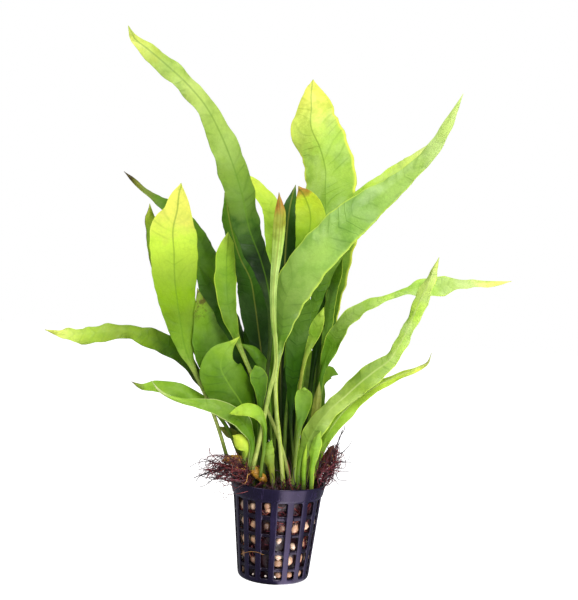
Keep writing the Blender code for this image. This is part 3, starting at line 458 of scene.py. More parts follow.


# The darkest stops, as on the middle of leaf_tall_left, on the dark leaves and at their stalk feet, are
# partly painted shade where the leaves pass through the crowded middle of the plant
LOOKS = {
    "leaf_brown_tip": withered(
        (0.6, (0.56, 0.76, 0.18)), (0.74, (0.7, 0.92, 0.26)), (0.84, (0.54, 0.74, 0.12)),
        (0.92, (0.5, 0.52, 0.06)), (0.96, RUST), (0.985, RUST), (1, BROWN),
        rib=OLIVE, veins=0, wave=0.3, cup=0.3, twist=20, streaks=0.45),
    "leaf_big_right": light_green(
        (0.25, LIGHT_STALK), (0.34, GREEN), (0.45, (0.29, 0.46, 0.08)), (0.56, (0.42, 0.66, 0.12)),
        (0.7, (0.35, 0.6, 0.1)),
        (0.87, (0.56, 0.76, 0.18)), (1, (0.74, 0.9, 0.26)),
        rim=LIME, veins=0.4, wave=0.8, cup=0.22, bloom=0.18, gloss=0.45),
    "leaf_tall_left": green(
        (0.25, DARK_STALK), (0.39, (0.04, 0.09, 0.008)), (0.49, (0.008, 0.035, 0.001)),
        (0.55, (0.05, 0.14, 0.005)),
        (0.64, (0.27, 0.45, 0.05)), (0.73, (0.46, 0.66, 0.11)), (0.83, (0.62, 0.78, 0.18)),
        (0.92, (0.62, 0.8, 0.16)),
        (1, LEMON), rib=GREEN, veins=0.4, wave=1.2, cup=0.2, bloom=0.08, gloss=0.3),
    "leaf_broad_left": lime(
        (0.12, LIGHT_STALK), (0.3, (0.4, 0.52, 0.1)), (0.42, MID), (0.53, (0.21, 0.37, 0.015)),
        (0.6, (0.3, 0.52, 0.012)), (0.68, (0.4, 0.6, 0.04)),
        (0.785, (0.7, 0.92, 0.08)), (0.88, LEMON), (1, LEMON), rib=GREEN, veins=0.45, mottle=0.2, wave=0.7,
        bloom=0),
    "leaf_bright_upright": light_lime(
        (0.5, LIGHT_STALK), (0.62, (0.15, 0.29, 0.015)), (0.8, MID), (0.92, BRIGHT),
        (1, LIME),
        rim=LIME, rib=GREEN, wave=0.8),
    "leaf_right_tall": lime(
        (0.1, MID), (0.2, (0.36, 0.52, 0.08)), (0.32, (0.46, 0.62, 0.12)), (0.46, (0.31, 0.48, 0.04)),
        (0.59, (0.5, 0.7, 0.13)), (0.8, (0.62, 0.86, 0.11)), (0.93, (0.76, 0.9, 0.26)), (1, LEMON),
        rim=LIME, rib=PALE, veins=0.4, wave=1.2, bloom=0.3, gloss=0.4),
    "leaf_broad_lower": green(
        (0.2, GREEN), (0.5, (0.09, 0.21, 0.006)), (0.8, (0.19, 0.38, 0.015)), (0.93, BRIGHT), (1, YELLOW),
        rib=MID, veins=0.5, wave=1.2, bloom=0.05),
    "leaf_left_small_front": lime(
        (0.1, GREEN), (0.35, (0.17, 0.33, 0.015)), (0.5, (0.28, 0.46, 0.05)), (0.65, MID), (0.8, BRIGHT),
        (0.92, (0.8, 0.84, 0.42)), (1, (0.85, 0.86, 0.5)), rim=PALE, wave=0.9),
    "leaf_small_round": green((0.5, DEEP), (0.8, GREEN), (1, MID), rim=BRIGHT),
    "leaf_curled_small": lime((0.4, GREEN), (0.7, BRIGHT), (1, LIME), rim=LIME, wave=1.0),
    "leaf_yellow_bud": yellow((0.3, LIME), (1, YELLOW), veins=0.2, cup=0.5),
    "leaf_low_center": green((0.3, OLIVE), (1, BRIGHT), cup=0.4),
    "leaf_spoon": green((0.5, STALK), (0.7, GREEN), (0.9, MID), (1, BRIGHT), rim=BRIGHT, cup=0.35),
    "leaf_narrow_lime": lime((0.3, MID), (1, LIME)),
    "leaf_wrinkled_small": lime((0.3, MID), (1, BRIGHT), rim=LIME, wave=1.4, cup=0.4),
    "leaf_stub_olive": green((0.4, OLIVE), (1, OLIVE)),
    "leaf_star": green((0.6, DARK_STALK), (0.85, MID), (1, GREEN)),
    "leaf_small_bright": lime((0.6, OLIVE), (0.85, MID), (1, LIME), rim=LIME),
    "leaf_right_low": lime(
        (0.2, MID), (0.45, BRIGHT), (0.7, LIME), (0.9, YELLOW), (1, BROWN), rim=LIME, rib=PALE, wave=1.0),
    "leaf_right_far": lime(
        (0.25, DEEP), (0.4, GREEN), (0.52, (0.36, 0.52, 0.09)), (0.62, (0.6, 0.84, 0.11)),
        (0.75, (0.48, 0.74, 0.12)),
        (0.88, (0.8, 0.93, 0.3)), (1, LEMON), rim=LIME, wave=1.3, bloom=0.3),
    "leaf_spotted": green(
        (0.4, GREEN), (0.7, GREEN), (0.88, MID), (1, OLIVE), spots=(0.82, 1.0, 0.7), wave=0.8),
    "leaf_left_small_upper": lime((0.4, MID), (0.7, MID), (0.9, BRIGHT), (1, BROWN), wave=0.8),
    "leaf_olive_narrow": green((0.4, OLIVE), (1, OLIVE)),
    "leaf_arched_strip": green((0.6, GREEN), (0.85, GREEN), (1, MID)),
    "leaf_yellow_small": yellow(
        (0.5, DEEP), (0.7, (0.1, 0.21, 0.01)), (0.81, (0.21, 0.38, 0.015)), (0.88, (0.46, 0.67, 0.035)),
        (0.94, (0.72, 0.86, 0.05)), (1, RUST), rib=GREEN, wave=0.6),
    "leaf_mid_green": green((0.35, DARK), (0.6, DEEP), (0.85, (0.17, 0.32, 0.04)), (1, MID), veins=0.5),
    "leaf_left_long": green(
        (0.25, DARK_STALK), (0.38, DARK_STALK), (0.555, (0.1, 0.23, 0.005)), (0.65, (0.28, 0.45, 0.014)),
        (0.75, (0.3, 0.44, 0.022)), (0.85, (0.58, 0.78, 0.09)), (0.93, (0.86, 0.95, 0.22)), (1, LEMON),
        spots=(0.9, 1.0, 0.3), wave=1.4),
    "leaf_strip_right": green((0.5, GREEN), (0.8, GREEN), (1, MID), rim=LIME),
    "leaf_dark_left": dark((0.5, DARK), (0.75, DEEP), (1, GREEN), rib=OLIVE),
    "leaf_dark_center": dark((0.5, BLACK_GREEN), (0.8, DARK), (1, DEEP), rib=OLIVE, bloom=0),
    "leaf_dark_middle": dark((0.5, DARK), (0.8, DEEP), (1, GREEN)),
    "leaf_yellow_behind": yellow(
        (0.5, GREEN), (0.7, BRIGHT), (0.85, LIME), (1, (0.84, 0.9, 0.3)), bloom=0.2),
    "leaf_lime_arching": lime((0.5, GREEN), (0.7, BRIGHT), (0.85, LIME), (1, YELLOW)),
    "leaf_dark_strip": dark((0.5, DARK), (0.8, DEEP), (1, GREEN)),
    "leaf_thin_tip": dark((0.4, DEEP), (0.65, GREEN), (0.85, GREEN), (0.93, OLIVE), (1, BROWN)),
    "leaf_broad_yellow": yellow(
        (0.35, DEEP), (0.5, MID), (0.6, (0.34, 0.57, 0.09)), (0.675, (0.36, 0.58, 0.06)),
        (0.735, (0.49, 0.72, 0.1)),
        (0.81, (0.58, 0.82, 0.12)), (0.88, (0.84, 0.97, 0.18)), (0.95, LEMON), (1, LEMON),
        rim=YELLOW, rib=GREEN, veins=0.4, wave=1.0, bloom=0.15),
    "leaf_far_left": green((0.4, GREEN), (0.7, OLIVE), (0.9, BRIGHT), (1, YELLOW), rim=BROWN),
    "leaf_back_low_left": green((0.4, GREEN), (0.8, MID), (1, BRIGHT)),
    "leaf_back_tall_left": green((0.4, GREEN), (0.7, MID), (1, BRIGHT)),
    "leaf_back_tall_right": green((0.4, GREEN), (0.7, MID), (1, LIME)),
    "leaf_back_upright": green((0.4, GREEN), (0.7, BRIGHT), (1, LIME)),
    "leaf_back_left": dark((0.4, DEEP), (0.8, GREEN), (1, MID)),
    "leaf_back_dark": dark((0.4, DEEP), (0.8, DEEP), (1, GREEN)),
    "leaf_back_right": green((0.4, DARK), (0.8, MID), (1, BRIGHT)),
    "leaf_back_arching": lime((0.4, DEEP), (0.8, BRIGHT), (1, YELLOW)),
    "leaf_back_crown": dark((0.4, BLACK_GREEN), (0.8, DARK), (1, DEEP)),
    "leaf_back_crown_left": dark((0.4, DARK), (0.8, DEEP), (1, GREEN)),
    "leaf_back_drooping": green((0.4, DARK), (0.8, MID), (1, LIME)),
}


class Finish:
    """A material being made. Each method adds one node and returns its output."""

    def __init__(self, name):
        self.material = bpy.data.materials.new(name)
        self.material.use_nodes = True
        self.tree = self.material.node_tree
        self.tree.nodes.clear()

    def node(self, kind, sockets, **settings):
        made = self.tree.nodes.new("ShaderNode" + kind)
        for setting, value in settings.items():
            setattr(made, setting, value)
        for socket, value in sockets.items():
            if isinstance(value, bpy.types.NodeSocket):
                self.tree.links.new(value, made.inputs[socket])
            elif isinstance(value, tuple) and made.inputs[socket].type == "RGBA":
                made.inputs[socket].default_value = (*value, 1)
            else:
                made.inputs[socket].default_value = value
        return made

    def math(self, operation, *values):
        return self.node("Math", dict(enumerate(values)), operation=operation).outputs[0]

    def times(self, a, b):
        return self.math("MULTIPLY", a, b)

    def times_plus(self, a, b, c):
        """a * b + c."""
        return self.math("MULTIPLY_ADD", a, b, c)

    def mix(self, part, a, b, way="MIX"):
        return self.node("Mix", {0: part, 6: a, 7: b}, data_type="RGBA", blend_type=way).outputs[2]

    def tint(self, part, colour, by):
        """As much of the colour as part says, multiplied by another."""
        return self.mix(part, colour, by, "MULTIPLY")

    def step(self, value, low, high, start=0.0, end=1.0):
        """Runs smoothly from start to end as value goes from low to high."""
        sockets = {0: value, 1: low, 2: high, 3: start, 4: end}
        return self.node("MapRange", sockets, interpolation_type="SMOOTHSTEP").outputs[0]

    def ramp(self, value, stops):
        made = self.node("ValToRGB", {0: value})
        made.color_ramp.elements.remove(made.color_ramp.elements[1])
        for place, (at, colour) in enumerate(stops):
            stop = made.color_ramp.elements[0] if place == 0 else made.color_ramp.elements.new(at)
            stop.position = at
            stop.color = (*colour, 1)
        return made.outputs[0]

    def object_place(self):
        return self.node("TexCoord", {}).outputs["Object"]

    def uv(self, layer):
        return self.node("UVMap", {}, uv_map=layer).outputs[0]

    def parts(self, vector):
        """The first two numbers of a vector."""
        return self.node("SeparateXYZ", {0: vector}).outputs[:2]

    def stretched(self, vector, scale):
        return self.node("Mapping", {0: vector, 3: scale}).outputs[0]

    def noise(self, vector, scale, detail=2.0, roughness=0.5):
        sockets = {"Vector": vector, "Scale": scale, "Detail": detail, "Roughness": roughness}
        return self.node("TexNoise", sockets).outputs[0]

    def cells(self, vector, scale, feature="F1"):
        sockets = {"Vector": vector, "Scale": scale}
        return self.node("TexVoronoi", sockets, feature=feature).outputs["Distance"]

    def bump(self, height, distance, strength=1.0):
        sockets = {"Height": height, "Distance": distance, "Strength": strength}
        return self.node("Bump", sockets).outputs[0]

    def attribute(self, name):
        return self.node("Attribute", {}, attribute_name=name).outputs["Fac"]

    def principled(self, **sockets):
        named = {key.replace("_", " "): value for key, value in sockets.items()}
        return self.node("BsdfPrincipled", named).outputs[0]

    def done(self, shader):
        self.node("OutputMaterial", {0: shader})
        return self.material


def round_about(radii, angles, heights):
    """Points at these radii, angles and heights about the pot's axis."""
    radii, angles, heights = np.broadcast_arrays(radii, angles, heights)
    return np.stack([radii * np.cos(angles), radii * np.sin(angles), heights], axis=-1)


def full_turn(places):
    """This many angles round a circle, each once."""
    return np.arange(places) / places * 2 * np.pi


def skin(rings):
    """Closed surfaces over rings[piece, station, place round the ring]: quads between neighbouring rings,
    and a fan from each end ring to its middle. Gives the points, then the corners of quads and of fans."""
    pieces, stations, around = rings.shape[:3]
    ring = np.arange(pieces * stations * around).reshape(pieces, stations, around)
    after = np.roll(ring, -1, axis=2)
    quads = np.stack([ring[:, :-1], after[:, :-1], after[:, 1:], ring[:, 1:]], axis=-1).reshape(-1, 4)
    foot = np.repeat(ring.size + np.arange(pieces), around).reshape(pieces, around)
    foot_fan = np.stack([after[:, 0], ring[:, 0], foot], axis=-1)
    tip_fan = np.stack([ring[:, -1], after[:, -1], foot + pieces], axis=-1)
    return spread(rings), quads, np.concatenate([foot_fan, tip_fan]).reshape(-1, 3)


def spread(values):
    """What rings hold, ring point by ring point, and then the means of the end rings for the end points that
    skin adds."""
    flat = values.reshape(-1, values.shape[-1])
    return np.concatenate([flat, values[:, 0].mean(1), values[:, -1].mean(1)])


def spread_tones(tones, rings):
    """A tone for each piece as one for each point that skin makes of the rings."""
    return spread(np.broadcast_to(tones[:, None, None, None], (*rings.shape[:3], 1)))[:, 0]


def add_mesh(name, points, quads, fans, layers=None, tones=None):
    """A smooth mesh object at the origin from points in mm, with its UV layers and a tone for each point."""
    mesh = bpy.data.meshes.new(name)
    corners = np.concatenate([quads.ravel(), fans.ravel()])
    sizes = np.repeat([4, 3], [len(quads), len(fans)])
    mesh.vertices.add(len(points))
    mesh.vertices.foreach_set("co", (points * MM).ravel())
    mesh.loops.add(len(corners))
    mesh.loops.foreach_set("vertex_index", corners)
    mesh.polygons.add(len(sizes))
    mesh.polygons.foreach_set("loop_start", np.cumsum(sizes) - sizes)
    mesh.update(calc_edges=True)
    mesh.validate()
    mesh.shade_smooth()
    for layer, values in (layers or {}).items():
        mesh.uv_layers.new(name=layer).data.foreach_set("uv", values[corners].ravel())
    if tones is not None:
        mesh.attributes.new("tone", "FLOAT", "POINT").data.foreach_set("value", tones.astype(np.float32))
    made = bpy.data.objects.new(name, mesh)
    bpy.context.scene.collection.objects.link(made)
    return made


def finish_piece(piece, material, slot, *nodes):
    """Gives a piece its material, hides the nodes of the frame that it stands for, and has it ride the root.
    """
    piece.data.materials.append(material)
    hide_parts(*nodes)
    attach(piece, "root")


def unit(vectors):
    return vectors / np.linalg.norm(vectors, axis=-1, keepdims=True)


def smooth_through(points, at, axes=2):
    """The smooth cubic through the rows of points, at parts 0 to 1 of their summed distances over the first
    axes. The slope at each point is that of the parabola through it and its neighbours."""
    steps = np.linalg.norm(np.diff(points[:, :axes], axis=0), axis=1)
    knots = np.concatenate([[0], np.cumsum(steps)]) / steps.sum()
    slopes = np.gradient(points, knots, axis=0)
    i = np.clip(np.searchsorted(knots, at, side="right") - 1, 0, len(knots) - 2)
    gap = (knots[i + 1] - knots[i])[:, None]
    t = (at - knots[i])[:, None] / gap
    return (
        (1 + 2 * t) * (1 - t) ** 2 * points[i]
        + t * (1 - t) ** 2 * gap * slopes[i]
        + t**2 * (3 - 2 * t) * points[i + 1]
        + t**2 * (t - 1) * gap * slopes[i + 1]
    )


def ease(value, low, high):
    """0 below low, 1 above high, and smooth between them."""
    t = np.clip((value - low) / (high - low), 0, 1)
    return t * t * (3 - 2 * t)


def waves(at, lengths, rng):
    """A sum of sines of these wavelengths with seeded phases, between about -1 and 1."""
    return sum(np.sin(2 * np.pi * (at / length + rng.random())) for length in lengths) / len(lengths) ** 0.7


def edge_waves(at, lengths, rng):
    """The waves of the right edge of a leaf and of its left one, side by side."""
    return np.column_stack([waves(at, lengths, rng) for edge in "rl"])


def placed(leaf, at):
    """The middle line of a leaf in space and its width there, at parts 0 to 1 of its route."""
    route = np.array(leaf.route, float)
    reach = np.hypot(route[:, 0], route[:, 1] - POT_HEIGHT)
    out = np.maximum(reach - FAN_FROM, 0)
    depth = leaf.layer * (FAN * out + FAN_BEND * out**2)
    depth = depth + np.clip(leaf.layer, -DEEPEST_FOOT, DEEPEST_FOOT) * FOOT_SPREAD
    carry = 1 + depth / VIEW_DISTANCE
    carry[0] = 1
    x = route[:, 0] * carry
    z = VIEW_HEIGHT + (route[:, 1] - VIEW_HEIGHT) * carry
    line = smooth_through(np.column_stack([x, z, depth, route[:, 2] * carry]), at)
    return line[:, [0, 2, 1]], np.maximum(line[:, 3], THINNEST)


def leaf_tissue(name, look, seed):
    """The tissue of one leaf. The blade layer of its UVs runs over the blade, and the rule layer holds how
    far a point lies across and along it. Side veins lie where (along - VEIN_SLOPE * across) / VEIN_SPACING
    is whole."""
    tissue = Finish(name)
    over, along = tissue.parts(tissue.uv("blade"))
    across, far = tissue.parts(tissue.uv("rule"))
    shift = (SHIFT_PER_LEAF * seed, 0.0, 0.0)
    place = tissue.node("VectorMath", {0: tissue.object_place(), 1: shift}).outputs[0]
    cloud = tissue.noise(place, CLOUD_SCALE)
    blotch = tissue.noise(place, BLOTCH_SCALE, 4, 0.6)
    fine = tissue.noise(place, FINE_SCALE, 3, 0.6)
    edge = tissue.math("ABSOLUTE", tissue.times_plus(over, 2, -1))
    beside = tissue.math("ABSOLUTE", across)

    wander = tissue.times(tissue.math("SUBTRACT", blotch, 0.5), 0.16)
    colour = tissue.ramp(tissue.math("ADD", along, wander), look.stops)
    colour = tissue.tint(tissue.step(cloud, 0.35, 0.65, 0.0, 0.5), colour, CLOUD_TINT)
    colour = tissue.tint(tissue.step(blotch, 0.42, 0.66, 0.0, look.mottle), colour, BLOTCH_TINT)
    colour = tissue.tint(tissue.step(fine, 0.4, 0.7, 0.0, 0.3), colour, FINE_TINT)

    # Painted sheen: pale patches mixed into the outer part of the leaf stand in for soft grey-green
    # highlights
    if look.bloom:
        painted_sheen_mask = tissue.step(tissue.noise(place, PAINTED_SHEEN_SCALE, 3), 0.42, 0.68, 0.0, look.bloom)
        colour = tissue.mix(tissue.times(painted_sheen_mask, tissue.step(along, 0.45, 0.75)), colour, PAINTED_SHEEN)

    slant = tissue.times_plus(beside, -VEIN_SLOPE, far)
    slant = tissue.times_plus(blotch, 0.02, slant)
    from_vein = tissue.math("PINGPONG", tissue.times(slant, RULE / VEIN_SPACING), 0.5)
    side_vein = tissue.times(tissue.step(from_vein, 0.0, 0.16, 1.0, 0.0), tissue.step(cloud, 0.4, 0.6))
    net = tissue.step(tissue.cells(place, NET_SCALE, "DISTANCE_TO_EDGE"), 0.0, 0.12, 1.0, 0.0)
    veins = tissue.math("MAXIMUM", tissue.times(net, 0.25), side_vein)
    colour = tissue.tint(tissue.times(veins, look.veins), colour, VEIN_TINT)
    if look.streaks:
        lengthwise = tissue.noise(tissue.stretched(tissue.uv("rule"), GROOVE_SCALES), 1, 3)
        grooves = tissue.step(lengthwise, 0.42, 0.6)
        colour = tissue.tint(tissue.times(grooves, look.streaks), colour, GROOVE_TINT)
        veins = tissue.math("MAXIMUM", veins, grooves)
    # Painted highlight along the edges: a thin, uneven band of the rim colour, lighter than the blade on
    # most leaves; on leaf_far_left the band is brown
    if look.rim:
        rim = tissue.times(tissue.step(edge, 0.88, 0.98), tissue.step(cloud, 0.3, 0.5, 0.25, 0.9))
        colour = tissue.mix(rim, colour, look.rim)
    if look.rib:
        rib = tissue.step(beside, 0.2 / RULE, 0.6 / RULE, RIB_STRENGTH, 0.0)
        colour = tissue.mix(tissue.times(rib, tissue.step(along, 0.25, 0.4)), colour, look.rib)
    if look.spots:
        low, high, amount = look.spots
        there = tissue.times(tissue.step(along, low, (low + high) / 2), amount)
        dots = tissue.step(tissue.noise(place, SPOT_SCALE, 3, 0.7), 0.5, 0.6)
        colour = tissue.mix(tissue.times(dots, there), colour, BROWN)

    height = tissue.times_plus(veins, -0.5, tissue.times(fine, 0.35))
    height = tissue.times_plus(blotch, 2.0, height)
    bump = tissue.bump(height, LEAF_RELIEF * MM, 0.8)
    rough = tissue.times_plus(blotch, 0.2, LEAF_ROUGHNESS)
    flesh = tissue.principled(Base_Color=colour, Roughness=rough, Normal=bump, Specular_IOR_Level=look.gloss)
    glow = tissue.node("BsdfTranslucent", {"Color": colour, "Normal": bump}).outputs[0]
    return tissue.done(tissue.node("MixShader", {0: TRANSLUCENCY, 1: flesh, 2: glow}).outputs[0])


def make_leaf(leaf, look, seed):
    """One leaf with its stalk. Across it runs u from -1 to 1, and x in mm, and along it s in mm. The blade's
    middle plane stands off the leaf's line by
        cup * half * (u^2 - 1) + KEEL * half * (1 - |u|)
        + wave * |u|^2.5 * sin(2 pi (s / length of a wave + phase of that edge))
        + QUILTING * cos(2 pi (far - VEIN_SLOPE * |x|) / VEIN_SPACING), where far is s with a slow wander,
    and each face lies half the thickness from it, 0.5 * BLADE_THICKNESS * (1 - u^2)^0.25, or as far as the
    round rib stands out: sqrt(rib^2 - x^2). On the stalk the rib is the whole width, so the section is a
    circle."""
    rng = np.random.default_rng(SEED * 1000 + seed)
    route = np.array(leaf.route, float)[:, :2]
    length = np.linalg.norm(np.diff(route, axis=0), axis=1).sum()
    at = np.linspace(0, 1, int(np.clip(length / STATION_GAP, FEWEST_STATIONS, MOST_STATIONS)))
    middle, width = placed(leaf, at)
    middle[0] += SUNK * unit(middle[0] - middle[1])
    s = np.concatenate([[0], np.cumsum(np.linalg.norm(np.diff(middle, axis=0), axis=1))])
    flat = np.clip((width - STALK_WIDTH) / (BLADE_WIDTH - STALK_WIDTH), 0, 1)
    along = unit(np.gradient(middle, axis=0))
    across = unit(np.cross((0.0, 1.0, 0.0), along))
    outward = np.cross(across, along)
    swing = np.sin(2 * np.pi * (0.9 * at + rng.random()))
    turn = np.radians(leaf.turn + look.twist * flat * swing)[:, None]
    side = across * np.cos(turn) - outward * np.sin(turn)
    face = outward * np.cos(turn) + across * np.sin(turn)
    half = (width / 2 * (1 + flat * (1 / np.cos(turn[:, 0]) - 1)))[:, None]

    flat = flat[:, None]
    round_it = full_turn(LEAF_AROUND)
    u = np.sign(np.cos(round_it)) * np.abs(np.cos(round_it)) ** (1 + 0.6 * flat)
    uneven = edge_waves(s, RAGGED_WAVES, rng)
    left = (u < 0) * 1
    x = u * half * (1 + RAGGEDNESS * flat * np.take_along_axis(uneven, left, axis=1))
    ripple = np.column_stack([
        waves(s, (rng.uniform(11, 15), rng.uniform(19, 27)), rng) for edge in "rl"
    ])
    far = s + 2.2 * waves(s, (17, 29), rng)
    swelling = 0.6 + 0.5 * edge_waves(s, (19, 33), rng)
    quilts = np.cos(2 * np.pi * (far[:, None] - VEIN_SLOPE * np.abs(x)) / VEIN_SPACING)
    quilts = quilts * ease(np.abs(x), 0.5, 3)
    stand = flat * (
        look.cup * rng.choice((-1, 1)) * half * (u**2 - 1)
        + KEEL * half * (1 - np.abs(u))
        + look.wave * np.abs(u) ** 2.5 * np.take_along_axis(ripple, left, axis=1)
        + QUILTING * quilts * np.take_along_axis(swelling, left, axis=1)
    )
    rib = RIB_RADIUS + (RIB_TIP_RADIUS - RIB_RADIUS) * at[:, None]
    rib = half * (1 - flat) + np.minimum(half, rib) * flat
    front = np.sin(round_it) > 0
    proud = 1 - flat * np.where(front, 0.6, 0.2)
    thick = np.maximum(
        flat * BLADE_THICKNESS / 2 * (1 - np.minimum(u**2, 1)) ** 0.25,
        proud * np.sqrt(np.maximum(rib**2 - x**2, 0)),
    )
    stand = stand + np.where(front, 1, -1) * thick
    rings = middle[:, None] + x[..., None] * side[:, None] + stand[..., None] * face[:, None]
    blade = np.stack([0.5 + u / 2, np.broadcast_to(at[:, None], u.shape)], axis=-1)
    rule = np.stack([x, np.broadcast_to(far[:, None], u.shape)], axis=-1) / RULE
    layers = {"blade": spread(blade[None]), "rule": spread(rule[None])}
    name = leaf.name.removeprefix("leaf_") + "_leaf"
    piece = add_mesh(name, *skin(rings[None]), layers)
    finish_piece(piece, leaf_tissue(name + "_tissue", look, seed), look.slot, leaf.name)


def body_radius(height):
    """The outer radius of the pot's tapering body at a height."""
    return BASE_RADIUS + BODY_SLOPE * height


def lattice(radii, heights, angles, is_open, start=0):
    """Rings of points of these radii and heights at these angles, and the quads between them, facing
    outwards where the heights fall. is_open[row, column] leaves a quad out. Corners count from start."""
    points = round_about(radii, angles, heights)
    index = start + np.arange(points[..., 0].size).reshape(points.shape[:2])
    after = np.roll(index, -1, axis=1)
    quads = np.stack([index[:-1], index[1:], after[1:], after[:-1]], axis=-1)
    return points.reshape(-1, 3), quads[~is_open]


def lines_round(openings, first, half, gap):
    """Mesh lines round the pot, with the openings' middles evenly spaced from the first, in degrees: each
    opening's edges and middle, a line within and beyond each edge, and the middle of the solid part that
    follows. Gives their angles, and whether an opening runs from each line to the next."""
    pitch = 360 / openings
    cell = np.array([-half, -half + gap, 0, half - gap, half, half + gap, pitch / 2, pitch - half - gap])
    angles = np.radians((first + pitch * np.arange(openings)[:, None] + cell).ravel())
    return angles, np.tile((cell >= -half) & (cell < half), openings)


def pot_plastic():
    """Black plastic with a violet cast and fine scuffs, glossy on the ribs, with painted shade on the sunken
    bars and inside the pot.
    """
    plastic = Finish("black_pot_plastic")
    place = plastic.object_place()
    cloud = plastic.noise(place, 60, 4)
    grain = plastic.noise(place, 900, 2)
    scuffs = plastic.step(plastic.noise(plastic.stretched(place, (1, 1, 0.15)), 500, 4, 0.7), 0.56, 0.7)
    colour = plastic.ramp(cloud, ((0.3, (0.004, 0.003, 0.012)), (0.7, (0.011, 0.008, 0.028))))
    colour = plastic.mix(plastic.times(scuffs, 0.25), colour, (0.05, 0.03, 0.1))
    level = plastic.stretched(place, (1, 1, 0))
    radius = plastic.node("VectorMath", {0: level}, operation="LENGTH").outputs["Value"]
    height = plastic.node("SeparateXYZ", {0: place}).outputs[2]
    body = plastic.times_plus(height, BODY_SLOPE, BASE_RADIUS * MM)
    # Painted shade: darker where the surface lies more than 0.1 mm within the body's outer face, on the
    # sunken bars and inside the pot
    painted_recess_shade = plastic.step(plastic.math("SUBTRACT", body, radius), 0.1 * MM, 0.4 * MM)
    colour = plastic.tint(painted_recess_shade, colour, (0.35, 0.3, 0.3))
    rough = plastic.times_plus(scuffs, 0.15, plastic.times_plus(cloud, 0.12, 0.16))
    bump = plastic.bump(plastic.times_plus(cloud, 2.0, grain), 0.12 * MM, 0.5)
    return plastic.done(plastic.principled(
        Base_Color=colour, Roughness=rough, Normal=bump, Specular_IOR_Level=0.3,
        Specular_Tint=(0.92, 0.78, 1.0)))


def make_pot():
    """The net pot: its wall, taken down the outside and round the foot, and its floor, thickened inwards."""
    levels = []
    for low, high in reversed(ROWS):
        levels += [high, high - WINDOW_LINE, (low + high) / 2, low + WINDOW_LINE, low]
    body_lines = np.arange(len(levels))
    each = len(levels) // len(ROWS)
    levels = np.array(levels + [LOWEST_BODY_LEVEL])
    radii, heights = np.array([*RIM_OUTLINE, *zip(body_radius(levels), levels), *FOOT_OUTLINE]).T
    half_window = math.degrees(WINDOW_WIDTH / 2 / BODY_TOP_RADIUS)
    angles, in_column = lines_round(COLUMNS, FIRST_COLUMN_DEG - 90, half_window, WINDOW_LINE_DEG)
    sunken = np.zeros(len(radii), bool)
    sunken[len(RIM_OUTLINE) + body_lines] = True
    in_row = np.zeros(len(radii) - 1, bool)
    in_row[len(RIM_OUTLINE) + body_lines] = body_lines % each < each - 1
    bars = BAR_DEPTH * np.outer(sunken, in_column & np.roll(in_column, 1))
    wall, wall_quads = lattice(radii[:, None] - bars, heights[:, None], angles, np.outer(in_row, in_column))

    radii = np.array(FLOOR_RADII)
    half_slot = math.degrees(SLOT_HALF_WIDTH / SLOT_MIDDLE)
    angles, in_slot = lines_round(FLOOR_SLOTS, 180 / FLOOR_SLOTS, half_slot, SLOT_LINE_DEG)
    in_reach = (radii[:-1] <= SLOT_ENDS[1]) & (radii[:-1] > SLOT_ENDS[0])
    is_slot = np.outer(in_reach, in_slot)
    floor, floor_quads = lattice(radii[:, None], FLOOR_HEIGHT, angles, is_slot, len(wall))
    middle = len(wall) + len(floor)
    last = middle - len(angles) + np.arange(len(angles))
    fan = np.stack([last, np.full_like(last, middle), np.roll(last, -1)], axis=-1)
    points = np.concatenate([wall, floor, [(0, 0, FLOOR_HEIGHT)]])
    pot = add_mesh("moulded_net_pot", points, np.concatenate([wall_quads, floor_quads]), fan)
    thicken = pot.modifiers.new("wall thickness", "SOLIDIFY")
    thicken.thickness = WALL * MM
    thicken.use_even_offset = True
    soften = pot.modifiers.new("moulded edges", "SUBSURF")
    soften.levels = 1
    soften.render_levels = 1
    finish_piece(pot, pot_plastic(), "pot_plastic", "net_pot")


def stones(places, sizes, rng):
    """Rounded stones: an 80-sided ball for each place, drawn out to three uneven radii, dented by
    0.12 * sin(a . p + phase) along two chances of a, and turned at will."""
    ball = bmesh.new()
    bmesh.ops.create_icosphere(ball, subdivisions=2, radius=1)
    shape = np.array([v.co for v in ball.verts])
    corners = np.array([[v.index for v in f.verts] for f in ball.faces])
    ball.free()
    count = len(places)
    turn = np.linalg.qr(rng.normal(size=(count, 3, 3)))[0]
    dent = 1
    for again in range(2):
        along = np.einsum("pk,nk->np", shape, rng.normal(size=(count, 3)) * 2)
        dent = dent + 0.12 * np.sin(along + rng.uniform(0, 6, (count, 1)))
    radii = sizes[:, None] * rng.uniform(0.85, 1.3, (count, 3))
    points = shape * dent[..., None] * radii[:, None]
    points = np.einsum("npk,nkj->npj", points, turn) + places[:, None]
    faces = corners + len(shape) * np.arange(count)[:, None, None]
    return points.reshape(-1, 3), faces.reshape(-1, 3), len(shape)


def gravel_finish():
    """Stone from cream to tan by each stone's tone, with speckles and a wet gloss."""
    stone = Finish("wet_gravel")
    place = stone.object_place()
    speckle = stone.noise(place, 900, 4, 0.7)
    vein = stone.noise(place, 240, 3)
    colour = stone.ramp(stone.attribute("tone"), GRAVEL_STOPS)
    colour = stone.tint(stone.step(vein, 0.45, 0.7, 0.0, 0.5), colour, STONE_VEIN_TINT)
    colour = stone.tint(stone.step(speckle, 0.55, 0.7, 0.0, 0.6), colour, SPECK_TINT)
    bump = stone.bump(speckle, 0.2 * MM, 0.6)
    rough = stone.times_plus(speckle, 0.25, 0.22)
    return stone.done(stone.principled(Base_Color=colour, Roughness=rough, Normal=bump))


